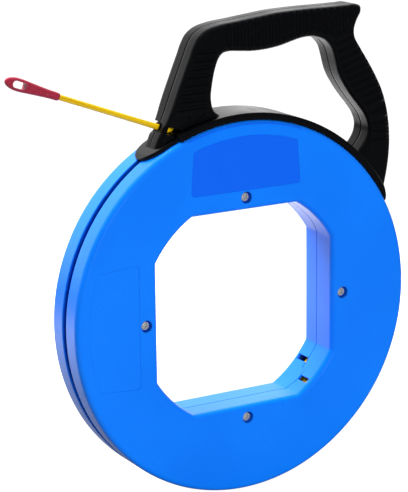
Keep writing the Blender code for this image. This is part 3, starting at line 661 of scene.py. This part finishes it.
SHOE_INNER = CASE_R + 0.35 * MM
SHOE_OUTER = 166.2 * MM
SHOE_HALF = 20.6 * MM
SHOE_START = 27.8
SHOE_STEP = 112.0
TONGUE_HALF = 16.5 * MM
TONGUE_OUTER = 163.3 * MM
TONGUE_ROUND = 116.6
TONGUE_TIP = 123.7
SHOE_EDGE = 1.9 * MM
TAKEOFF_R = 124 * MM
TAKEOFF_ANGLE = 69.2
TAKEOFF_WAY = (math.cos(math.radians(TAKEOFF_ANGLE)), math.sin(math.radians(TAKEOFF_ANGLE)))
TAPE_DIRECTION = np.array([-TAKEOFF_WAY[1], 0.0, TAKEOFF_WAY[0]])
TAKEOFF = TAKEOFF_R * np.array([TAKEOFF_WAY[0], 0.0, TAKEOFF_WAY[1]])


def shoe_mesh():
    """A rounded section carried along the rim: square below, with quarter-round upper edges. Its half
    width drops at the step and falls as a quarter ellipse over the tongue's end; the rear end thins."""
    body = np.linspace(SHOE_START, SHOE_STEP - 0.6, 110)
    shoulder = np.linspace(SHOE_STEP - 0.45, SHOE_STEP + 0.45, 7)
    tongue = np.linspace(SHOE_STEP + 0.7, TONGUE_ROUND, 12)
    end = TONGUE_ROUND + (TONGUE_TIP - TONGUE_ROUND) * np.sin(np.radians(np.linspace(4, 90, 26)))
    degrees = np.concatenate([body, shoulder, tongue, end])
    past = np.clip((degrees - TONGUE_ROUND) / (TONGUE_TIP - TONGUE_ROUND), 0, 1)
    tongue_half = TONGUE_HALF * np.sqrt(np.maximum(1 - past**2, 1e-5))
    share = step(SHOE_STEP - 0.45, SHOE_STEP + 0.45, degrees)
    half = (1 - share) * SHOE_HALF + share * tongue_half
    half *= 0.9 + 0.1 * step(SHOE_START, SHOE_START + 1.2, degrees)
    thin = 0.3 + 0.7 * step(SHOE_START - 1, SHOE_START + 5, degrees)
    outer = (1 - share) * (SHOE_INNER + (SHOE_OUTER - SHOE_INNER) * thin) + share * TONGUE_OUTER
    outer = outer - 0.7 * MM * step(0.7, 1.0, past)
    edge = np.minimum(SHOE_EDGE, half * 0.9)
    t = np.radians(np.linspace(0, 90, 7))
    cosine, sine = np.cos(t), np.sin(t)
    y = [-half, -half]
    r = [np.full_like(half, SHOE_INNER), SHOE_INNER + (outer - edge - SHOE_INNER) * 0.5]
    for c, s in zip(cosine, sine):
        y.append(-half + edge * (1 - c))
        r.append(outer - edge * (1 - s))
    for share_across in (0.04, 0.3, 0.5, 0.7, 0.96):
        y.append((-half + edge) * (1 - 2 * share_across))
        r.append(outer)
    for c, s in zip(cosine[::-1], sine[::-1]):
        y.append(half - edge * (1 - c))
        r.append(outer - edge * (1 - s))
    y += [half, half]
    r += [SHOE_INNER + (outer - edge - SHOE_INNER) * 0.5, np.full_like(half, SHOE_INNER)]
    y, r = np.stack(y, axis=1), np.stack(r, axis=1)
    angle = np.radians(degrees)[:, None]
    return grid_mesh("shoe_strap", np.stack([r * np.cos(angle), y, r * np.sin(angle)], axis=-1))


def along_tape(distance, across=0.0, y=0.0):
    """A point in the tape's own frame: distance along it, height above it in the X-Z plane, and y."""
    up = np.array([TAPE_DIRECTION[2], 0.0, -TAPE_DIRECTION[0]])
    return TAKEOFF + distance * TAPE_DIRECTION + across * up + np.array([0.0, y, 0.0])


def tape_block(name, start, stop, half_height, half_width):
    """A cutter along the tape's line."""
    corners = ((start, -half_height), (stop, -half_height), (stop, half_height), (start, half_height))
    outline = np.array([along_tape(distance, height)[[0, 2]] for distance, height in corners])
    return plate_mesh(name, outline, [(-half_width, 0), (half_width, 0)])


def tape_hole(radius, start, stop):
    """A round cutter along the tape's line."""
    return placed(turned_mesh("tape_hole", [(radius, start), (radius, stop)], 40), TAKEOFF, TAPE_DIRECTION)


BLACK = (0.0024, 0.0026, 0.0032)
BLACK_WORN = (0.004, 0.0044, 0.005)


def black_nylon(name, grain, gloss, shine):
    """Glass-filled black nylon from a spark-eroded mould: fine pebble grain, flow clouds in the gloss,
    and greyer rubbed patches."""
    material, tree, shader = new_nodes(name)
    where = read_point(tree)
    cloud = noise(tree, where, 38, 4)
    rub = ramp(tree, noise(tree, where, 130, 5, 0.6), 0.55, 0.78)
    tree.links.new(tint(tree, times(tree, rub, 0.5), BLACK, BLACK_WORN), shader.inputs["Base Color"])
    flow = ramp(tree, cloud, 0.3, 0.7, gloss - 0.05, gloss + 0.05)
    tree.links.new(math_node(tree, "ADD", flow, times(tree, rub, 0.06)), shader.inputs["Roughness"])
    cells = put(tree, "ShaderNodeTexVoronoi", {"Vector": where, "Scale": grain}, feature="SMOOTH_F1")
    fine = noise(tree, where, grain * 1.7, 2)
    height = math_node(tree, "ADD", times(tree, cells.outputs[0], 0.7), times(tree, fine, 0.5))
    roughen(tree, shader, 0.1, 0.0002, height)
    shader.inputs["Specular IOR Level"].default_value = shine
    return material


SHOE_NYLON = black_nylon("black_shoe_nylon", 900, 0.24, 0.2)
shoe = as_object(shoe_mesh())
slot_room = tape_block("slot_room", 96 * MM, 113 * MM, 2.9 * MM, 3.2 * MM)
carve(shoe, slot_room)
finish_piece(shoe, SHOE_NYLON, "handle", ["shoe"], 42)

# ----------------------------------------------------------
# Handle. Two halves moulded in black nylon and screwed together from the back: a front post that
# the tape passes through, a ribbed grip over the finger opening and a ribbed rear leg.

HANDLE_HALF = 15 * MM
HANDLE_ROUND = 5.5 * MM
HANDLE_BASE = 166.5 * MM
PART_GAP = 0.07 * MM
PART_EDGE = 0.3 * MM
GROOVE_DEPTH = 1.5 * MM
# Matched points of the two edges, outer then inner, from the front foot round to the rear foot, in mm
HANDLE_STATIONS = (
    ((-80, 140), (-6, 155)), ((-74.2, 152.6), (-10.5, 162)), ((-66.8, 165.8), (-18, 165.6)),
    ((-62, 177), (-24.2, 171)), ((-57.6, 188), (-26.5, 180)), ((-53.6, 197.4), (-25.4, 191)),
    ((-49.5, 207), (-22.4, 204)), ((-45.6, 216), (-18.8, 212.4)), ((-42, 224.5), (-14.8, 216)),
    ((-37.5, 231.4), (-8.5, 217)), ((-30, 236.5), (-2.5, 216.6)), ((-18, 239.6), (4, 216)),
    ((1, 241.6), (13, 215.3)), ((20, 243.6), (25, 215.5)), ((38, 245.4), (39, 217.1)),
    ((55, 246), (52, 220.2)), ((66, 246.2), (62, 222.2)), ((76, 246.2), (71, 222.4)),
    ((86, 246.2), (78, 220.9)), ((95, 246.2), (84.4, 218.2)), ((107, 246.3), (88.4, 214.6)),
    ((115.4, 246.4), (91, 211)), ((119.4, 244.6), (92.8, 206.6)), ((119.8, 239.6), (94.4, 201)),
    ((116.2, 233), (96, 195)), ((113.6, 226), (98, 189)), ((114.2, 219), (101, 183)),
    ((119.5, 210), (104.6, 177.3)), ((128, 197.2), (109, 171)), ((136, 184), (114.8, 163.7)),
    ((142.8, 170.5), (120.6, 156.8)), ((147.8, 154.5), (126.2, 148.8)),
    ((150.6, 137), (129.2, 140)), ((150.9, 119), (127.8, 132)), ((148.6, 100), (121, 122.4)),
    ((143, 76), (111, 112)),
)


def smooth_path(points, where):
    """A curve through points, read at point numbers with fractions: cubic pieces whose tangents are
    central differences over the square root of the chord."""
    points = np.asarray(points, float)
    chord = np.concatenate([[0], np.cumsum(np.linalg.norm(np.diff(points, axis=0), axis=1) ** 0.5)])
    tangent = np.gradient(points, chord, axis=0)
    index = np.clip(where.astype(int), 0, len(points) - 2)
    span = (chord[index + 1] - chord[index])[:, None]
    t = (where - index)[:, None]
    leaving = (t**3 - 2 * t**2 + t) * tangent[index] * span
    arriving = (t**3 - t**2) * tangent[index + 1] * span
    blend = 3 * t**2 - 2 * t**3
    return (1 - blend) * points[index] + leaving + blend * points[index + 1] + arriving


def nearest_on(curve, spots):
    """For each spot, the distance to an open polyline and the unit vector towards its nearest point."""
    start, run = curve[:-1], np.diff(curve, axis=0)
    length2 = (run**2).sum(axis=1)
    best = np.full(len(spots), np.inf)
    way = np.zeros_like(spots)
    for first in range(0, len(spots), 4000):
        some = spots[first : first + 4000]
        offset = some[:, None] - start
        t = np.clip((offset * run).sum(axis=2) / length2, 0, 1)
        gap = offset - t[..., None] * run
        distance = np.linalg.norm(gap, axis=2)
        pick = distance.argmin(axis=1)
        row = np.arange(len(some))
        best[first : first + 4000] = distance[row, pick]
        way[first : first + 4000] = -gap[row, pick] / np.maximum(distance[row, pick], 1e-9)[:, None]
    return best, way


def groove_shape(phase):
    """Flat-bottomed grooves at whole numbers, with rounded ribs between them."""
    return step(-0.75, 0.8, np.cos(2 * np.pi * phase))


def grooves(x, z, from_outer, from_inner):
    """How deep each spot is cut: three fields of grooves, upright on the grip, level on the front leg and
    slanting on the rear leg, each faded out at the edges of its own field. All in millimetres."""
    grip_phase = (x + 10.6) / 6.633
    grip_field = step(-0.6, -0.45, grip_phase) * (1 - step(18.45, 18.6, grip_phase))
    grip_field = grip_field * step(4.4, 6.0, from_inner) * step(0.9, 2.9, from_outer)
    floor_line = np.where(x > 76, 223.2, 200)
    grip_field = grip_field * step(floor_line, floor_line + 1.6, z)
    front_phase = (z - 219.5 - 0.012 * (x + 35)) / 6.37
    front_field = step(-7.6, -7.42, front_phase) * (1 - step(0.42, 0.6, front_phase))
    front_field = front_field * step(5.6, 7.4, from_inner) * step(1.8, 3.6, from_outer)
    front_field = front_field * (1 - step(-24.5, -22.5, x))
    lean = 0.287 * step(140, 166, z)
    rear_phase = (z - 219.6 - lean * (x - 108)) / 6.87
    rear_field = step(-13.6, -13.42, rear_phase) * (1 - step(0.42, 0.6, rear_phase))
    rear_field = rear_field * step(0.5, 2.3, from_outer) * step(78, 80, x) * step(2.2, 4.0, from_inner)
    fields = ((grip_field, grip_phase), (front_field, front_phase), (rear_field, rear_phase))
    return sum(field * groove_shape(phase) for field, phase in fields)


def handle_mesh(name, side):
    """Half of the handle: straight lines from its outer edge curve to its inner one, as columns of a grid.
    A spot nearer than the rounding to an edge sinks on a quarter circle of the true distance, the walls
    drop straight to the parting plane, and the grooves move each spot back along its own normal."""
    rows = 1020
    pairs = np.array(HANDLE_STATIONS, float)
    travel = np.linalg.norm(np.diff(pairs, axis=0), axis=2).sum(axis=1)
    far = np.concatenate([[0], np.cumsum(travel)])
    where = np.interp(np.linspace(0, far[-1], rows), far, np.arange(len(pairs)))
    outer = smooth_path(pairs[:, 0], where)
    inner = smooth_path(pairs[:, 1], where)
    span = np.linalg.norm(inner - outer, axis=1)[:, None]
    radius = HANDLE_ROUND / MM
    near = radius * (1 - np.cos(np.radians(np.linspace(0, 90, 10))))[None, :]
    start, stop = near[:, -1:] / span, 1 - near[:, -1:] / span
    middle = start + (stop - start) * np.linspace(0, 1, 26)[None, 1:-1]
    share = np.concatenate([near / span, middle, 1 - near[:, ::-1] / span], axis=1)
    spots = outer[:, None] + share[..., None] * (inner - outer)[:, None]

    wall = np.array([PART_GAP / MM, PART_GAP / MM + PART_EDGE / MM, 2, 3.6, 4.6, 5.4, 6.2, 7, 7.8, 8.6])
    inset = np.array([PART_EDGE / MM] + [0.0] * 9)
    outward_start = (outer - inner) / span
    low = outer[:, None] - outward_start[:, None] * inset[:, None]
    high = (inner[:, None] + outward_start[:, None] * inset[:, None])[:, ::-1]
    spots = np.concatenate([low, spots, high], axis=1)
    columns = spots.shape[1]

    flat = spots.reshape(-1, 2)
    from_outer, to_outer = nearest_on(outer, flat)
    from_inner, to_inner = nearest_on(inner, flat)
    nearest = np.minimum(from_outer, from_inner)
    way = np.where((from_outer < from_inner)[:, None], to_outer, to_inner)
    count = len(wall)
    column = np.tile(np.arange(columns), rows)
    on_wall = (column < count) | (column >= columns - count)
    row_outward = np.repeat(outward_start, columns, axis=0)
    row_way = np.where((column < columns / 2)[:, None], row_outward, -row_outward)
    way = np.where((on_wall | (nearest < 0.02))[:, None], row_way, way)
    nearest = np.where(on_wall, 0.0, nearest)

    narrowing = {-1: 2.4, 1: 3.6}[side]
    thick = HANDLE_HALF / MM - narrowing * step(180, 146, flat[:, 1]) * step(20, -10, flat[:, 0])
    lean = np.clip((radius - nearest) / radius, 0, 1)
    y = thick - radius + radius * np.sqrt(1 - lean**2)
    wall_y = np.concatenate([wall, np.zeros(columns - 2 * count), wall[::-1]])
    y = np.where(on_wall, np.tile(wall_y, rows) * (thick - radius) / (HANDLE_HALF / MM - radius), y)

    depth = grooves(flat[:, 0], flat[:, 1], from_outer, from_inner) * GROOVE_DEPTH / MM
    flat = flat - way * (lean * depth)[:, None]
    y = y - np.sqrt(1 - lean**2) * depth
    points = np.stack([flat[:, 0], side * y, flat[:, 1]], axis=1).reshape(rows, columns, 3) * MM
    return grid_mesh(name, points)


FOOT_BASE = 163.4 * MM
FOOT_FROM = 112.4
TAPE_ROOM = (96 * MM, 117.5 * MM)
WINDOW = ((-72.6, 162.0), (-55.4, 157.6), (-56.6, 152.2), (-71.6, 155.6))
NOTCH = ((-66.6, 163.4), (-62.0, 160.4), (-69.6, 154.0), (-84, 150), (-84, 163.4))
GUSSET_POCKETS = (
    ((-62.5, 167.4), (-48.2, 168.4), (-48.2, 160.6)),
    ((-45.6, 168.6), (-33.2, 169.4), (-45.6, 160.4)),
)
HANDLE_SCREWS = {
    "front_leg": (182, 102.5),
    "rear_leg": (172, 38.9),
    "grip_front": (228.6, 98.2),
    "grip_rear": (254.6, 66.6),
}
RECESS_R = 4.4 * MM
RECESS_DEPTH = 4 * MM

HANDLE_NYLON = black_nylon("black_handle_nylon", 700, 0.3, 0.13)
for side, node in ((-1, "handle_front_half"), (1, "handle_rear_half")):
    half = as_object(handle_mesh(f"{node}_moulding", side))
    turn = np.radians(np.arange(0, 360, 0.5))
    base = np.where((turn > math.radians(FOOT_FROM)) & (turn < math.pi), FOOT_BASE, HANDLE_BASE)
    under = np.column_stack([base * np.cos(turn), base * np.sin(turn)])
    carve(half, plate_mesh("under", under, [(-40 * MM, 0), (40 * MM, 0)]))
    carve(half, tape_block("tape_room", *TAPE_ROOM, 3.6 * MM, 9 * MM))
    opening, reach = (WINDOW, (-40 * MM, -8.5 * MM)) if side < 0 else (NOTCH, (3.5 * MM, 40 * MM))
    outline = rounded_outline(np.array(opening) * MM, 0.8 * MM)
    carve(half, plate_mesh("opening", outline, [(y, 0) for y in reach]))
    carve(half, tape_hole(3.1 * MM, 96 * MM, 150 * MM))
    pockets = []
    for corners in GUSSET_POCKETS:
        outline = rounded_outline(np.array(corners) * MM, 2 * MM)
        depths = ((-1.8 * MM, -0.5 * MM), (0.1 * MM, 0.0), (2 * MM, 0.0))
        pockets.append(plate_mesh("pocket", outline, [(side * (HANDLE_HALF + d), m) for d, m in depths]))
    if side > 0:
        for radius_mm, degrees in HANDLE_SCREWS.values():
            x, z = ring_point(radius_mm * MM, degrees)
            seat, mouth_r = HANDLE_HALF - RECESS_DEPTH, RECESS_R + 0.6 * MM
            recess = [(SCREW_HOLE_R, 0.5 * MM), (SCREW_HOLE_R, seat), (RECESS_R, seat)]
            recess += [(RECESS_R, HANDLE_HALF - 0.4 * MM), (mouth_r, HANDLE_HALF + 0.2 * MM)]
            recess.append((mouth_r, HANDLE_HALF + 2 * MM))
            pockets.append(placed(turned_mesh("recess", recess, 40), (x, 0, z), (0, 1, 0)))
    carve(half, joined("pockets", [tidy_mesh(pocket) for pocket in pockets]))
    finish_piece(half, HANDLE_NYLON, "handle", [node], 62)

handle_screw = screw_mesh("handle_screw", HEAD_R, HEAD_HEIGHT, SHANK_R, HANDLE_SCREW_LENGTH)
for number, (name, (radius_mm, degrees)) in enumerate(HANDLE_SCREWS.items()):
    x, z = ring_point(radius_mm * MM, degrees)
    turn = math.radians((50, 15, 72, 33)[number])
    place = (x, HANDLE_HALF - RECESS_DEPTH + 0.1 * MM, z)
    mesh = placed(handle_screw.copy(), place, (0, 1, 0), (math.sin(turn), 0, math.cos(turn)))
    mesh.name = f"handle_screw_{name}_body"
    finish_piece(as_object(mesh), ZINC, "handle", [f"handle_screw_{name}"], 35)
recoat("tape_guide", HANDLE_NYLON)

# ----------------------------------------------------------
# Free end of the tape. The rod leaves the coil, crosses the rim slot and the front post, and ends
# in a moulded crimson eyelet that takes the pull wire; it pays out and returns along its own line.

JOIN = 116.65 * MM
COLLAR = 217 * MM

run_line = np.array([along_tape(s) for s in np.linspace(0, JOIN, 60)])
run = as_object(tube_mesh("tape_run_rod", run_line, TAPE_R, 24))
finish_piece(run, FIBREGLASS, "tape", ["tape_run"], 60)

lead_line = np.array([along_tape(s) for s in np.linspace(JOIN, COLLAR + 1 * MM, 60)])
lead = as_object(tube_mesh("tape_lead_rod", lead_line, TAPE_R, 24))
finish_piece(lead, FIBREGLASS, "tape", ["tape_lead"], 60)

# Along the eyelet from its collar: distance, half height and half thickness, in millimetres
EYELET_SECTIONS = (
    (0, 2.75, 2.75), (0.7, 3.15, 3.1), (10, 3.5, 3.4), (20, 4.2, 3.6), (29, 4.9, 3.7),
    (36, 5.3, 3.6), (41, 5.0, 3.3), (45, 3.9, 2.9), (47.4, 2.5, 2.2), (48.5, 0.9, 0.9),
)
EYELET_SLOT = (31 * MM, 42.6 * MM)
EYELET_SLOT_HALF = 2.8 * MM


def eyelet_mesh():
    """Superellipse sections, a little squarer than ellipses, whose half height and half thickness follow
    smooth curves along the eyelet."""
    sections = smooth_path(EYELET_SECTIONS, np.linspace(0, len(EYELET_SECTIONS) - 1, 90))
    turn = np.linspace(0, 2 * np.pi, 48, endpoint=False)
    up = np.sign(np.cos(turn)) * np.abs(np.cos(turn)) ** 0.84
    out = np.sign(np.sin(turn)) * np.abs(np.sin(turn)) ** 0.84
    normal = along_tape(0, 1.0) - TAKEOFF
    base = TAKEOFF + (COLLAR + sections[:, :1] * MM) * TAPE_DIRECTION
    high = (sections[:, 1:2] * MM * up)[..., None] * normal
    deep = (sections[:, 2:3] * MM * out)[..., None] * np.array([0.0, 1.0, 0.0])
    return grid_mesh("pull_eyelet", base[:, None] + high + deep)


CRIMSON_DEEP = (0.31, 0.02, 0.045)
CRIMSON_RUBBED = (0.42, 0.07, 0.1)


def crimson_plastic():
    """Moulded crimson plastic, chalky from handling, with paler rubbed spots."""
    material, tree, shader = new_nodes("crimson_plastic")
    where = read_point(tree)
    cloud = noise(tree, where, 120, 4)
    rub = ramp(tree, noise(tree, where, 420, 4), 0.52, 0.75)
    colour = tint(tree, times(tree, rub, 0.5), CRIMSON_DEEP, CRIMSON_RUBBED)
    tree.links.new(colour, shader.inputs["Base Color"])
    tree.links.new(ramp(tree, cloud, 0.3, 0.7, 0.34, 0.5), shader.inputs["Roughness"])
    roughen(tree, shader, 0.12, 0.0002, noise(tree, where, 1500))
    shader.inputs["Subsurface Weight"].default_value = 0.08
    shader.inputs["Subsurface Radius"].default_value = (0.003, 0.0008, 0.0008)
    return material


CRIMSON = crimson_plastic()
eyelet = as_object(eyelet_mesh())
slot_start, slot_stop = COLLAR + EYELET_SLOT[0], COLLAR + EYELET_SLOT[1] - EYELET_SLOT_HALF
round_end = np.radians(np.linspace(-90, 90, 17))
slot_half, slot_chamfer = EYELET_SLOT_HALF, 0.9 * MM
slot_line = [(slot_start + slot_chamfer, -slot_half)]
slot_line += [(slot_stop + slot_half * math.cos(t), slot_half * math.sin(t)) for t in round_end]
slot_line += [(slot_start + slot_chamfer, slot_half), (slot_start, slot_half - slot_chamfer)]
slot_line.append((slot_start, slot_chamfer - slot_half))
slot_outline = np.array([along_tape(distance, height)[[0, 2]] for distance, height in slot_line])
carve(eyelet, plate_mesh("slot", slot_outline, [(-8 * MM, 0), (8 * MM, 0)]))
finish_piece(eyelet, CRIMSON, "tape", ["eyelet"], 45)

# ----------------------------------------------------------
# Studio. A floor that glows white to the camera, a backdrop, one broad soft light high behind, a weaker one
# in front and a camera low on the left. The lamps leave no mirror image: only the glow behind the reel
# shines in it, from the sky and from a painted pool of light on the floor.

CAMERA_AZIMUTH = 29.897
CAMERA_ELEVATION = 14.528
CAMERA_ROLL = -0.684
CAMERA_PLACE = (-0.84024, -1.41202, 0.47581)
CAMERA_LENS = 147.5
FLOOR_HALF = 12


def look(azimuth, elevation, roll):
    """A camera's turn: azimuth to the left of the front, elevation above it and roll about its own line."""
    a, e, r = (math.radians(v) for v in (azimuth, elevation, roll))
    right = np.array([math.cos(a), -math.sin(a), 0.0])
    forward = np.array([math.sin(a) * math.cos(e), math.cos(a) * math.cos(e), -math.sin(e)])
    up = np.array([math.sin(a) * math.sin(e), math.cos(a) * math.sin(e), math.cos(e)])
    level = math.cos(r) * right + math.sin(r) * up
    upright = -math.sin(r) * right + math.cos(r) * up
    return np.column_stack([level, upright, -forward])


def soft_light(name, place, aim, size, power, colour=(1, 1, 1)):
    """An area light at a place, turned to an aim."""
    data = bpy.data.lights.new(name, "AREA")
    data.shape = "RECTANGLE"
    data.size, data.size_y = size
    data.energy = power
    data.color = colour
    made = bpy.data.objects.new(name, data)
    made.visible_glossy = False
    bpy.context.scene.collection.objects.link(made)
    back = np.array(place, float) - np.array(aim, float)
    back /= np.linalg.norm(back)
    right = np.cross((0.0, 0.0, 1.0), back)
    right /= np.linalg.norm(right)
    turn = np.column_stack([right, np.cross(back, right), back])
    matrix = np.eye(4)
    matrix[:3, :3] = turn
    matrix[:3, 3] = place
    made.matrix_world = mathutils.Matrix(matrix.tolist())
    return made


camera_data = bpy.data.cameras.new("camera")
camera_data.lens = CAMERA_LENS
camera_data.sensor_width = 36
camera_data.clip_start = 0.05
camera_data.clip_end = 50
camera = bpy.data.objects.new("camera", camera_data)
bpy.context.scene.collection.objects.link(camera)
matrix = np.eye(4)
matrix[:3, :3] = look(CAMERA_AZIMUTH, CAMERA_ELEVATION, CAMERA_ROLL)
matrix[:3, 3] = CAMERA_PLACE
camera.matrix_world = mathutils.Matrix(matrix.tolist())
bpy.context.scene.camera = camera

soft_light("back_softbox", (-0.45, 0.85, 1.8), (0, 0, 0), (1.6, 1.4), 125)
soft_light("front_softbox", (-0.1, -2.37, 0.3), (0, 0, -0.03), (1.2, 0.8), 57)

floor_z = cad_box[0][2] - 0.5 * MM
floor_mesh = bpy.data.meshes.new("floor")
floor_corners = [(x * FLOOR_HALF, y * FLOOR_HALF, floor_z) for x, y in ((-1, -1), (1, -1), (1, 1), (-1, 1))]
floor_mesh.from_pydata(floor_corners, [], [(0, 1, 2, 3)])
floor = bpy.data.objects.new("floor", floor_mesh)
bpy.context.scene.collection.objects.link(floor)
floor_material, floor_tree, floor_shader = new_nodes("glowing_floor")
floor_where = read_point(floor_tree)
floor_split = put(floor_tree, "ShaderNodeSeparateXYZ", {0: floor_where}).outputs
behind = math_node(floor_tree, "ADD", floor_split[1], times(floor_tree, floor_split[0], 0.1))
seen = put(floor_tree, "ShaderNodeLightPath", {}).outputs["Is Camera Ray"]
away = put(floor_tree, "ShaderNodeVectorMath", {0: floor_where}, operation="LENGTH").outputs["Value"]
# Painted light: to every ray but the camera's, the floor glows in a pool behind the reel that fades away
# from it. The pool shines in the glossy parts and lights the reel.
painted_floor_glow = ramp(floor_tree, behind, 0.0, 0.45, 0.03, 2.1)
painted_floor_glow = times(floor_tree, painted_floor_glow, ramp(floor_tree, away, 0.7, 1.2, 1.0, 0.12))
glow = math_node(floor_tree, "MAXIMUM", seen, painted_floor_glow)
floor_tree.links.new(glow, floor_shader.inputs["Emission Strength"])
floor_shader.inputs["Emission Color"].default_value = (1, 1, 1, 1)
floor_shader.inputs["Base Color"].default_value = (0.08, 0.08, 0.08, 1)
floor_shader.inputs["Roughness"].default_value = 0.9
floor_shader.inputs["Specular IOR Level"].default_value = 0.0
floor.data.materials.append(floor_material)

world = bpy.data.worlds.new("studio")
world.use_nodes = True
bpy.context.scene.world = world
sky_tree = world.node_tree
sky = sky_tree.nodes["Background"]
heading = put(sky_tree, "ShaderNodeSeparateXYZ", {0: read_point(sky_tree, "Generated")}).outputs
backward = math_node(sky_tree, "ADD", heading[1], times(sky_tree, heading[0], 0.2))
seen = put(sky_tree, "ShaderNodeLightPath", {}).outputs["Is Camera Ray"]
glow = math_node(sky_tree, "MAXIMUM", seen, ramp(sky_tree, backward, 0.1, 0.75, 0.09, 1.35))
sky_tree.links.new(glow, sky.inputs["Strength"])
sky.inputs["Color"].default_value = (1, 1, 1, 1)
bpy.context.scene.view_settings.view_transform = "Standard"
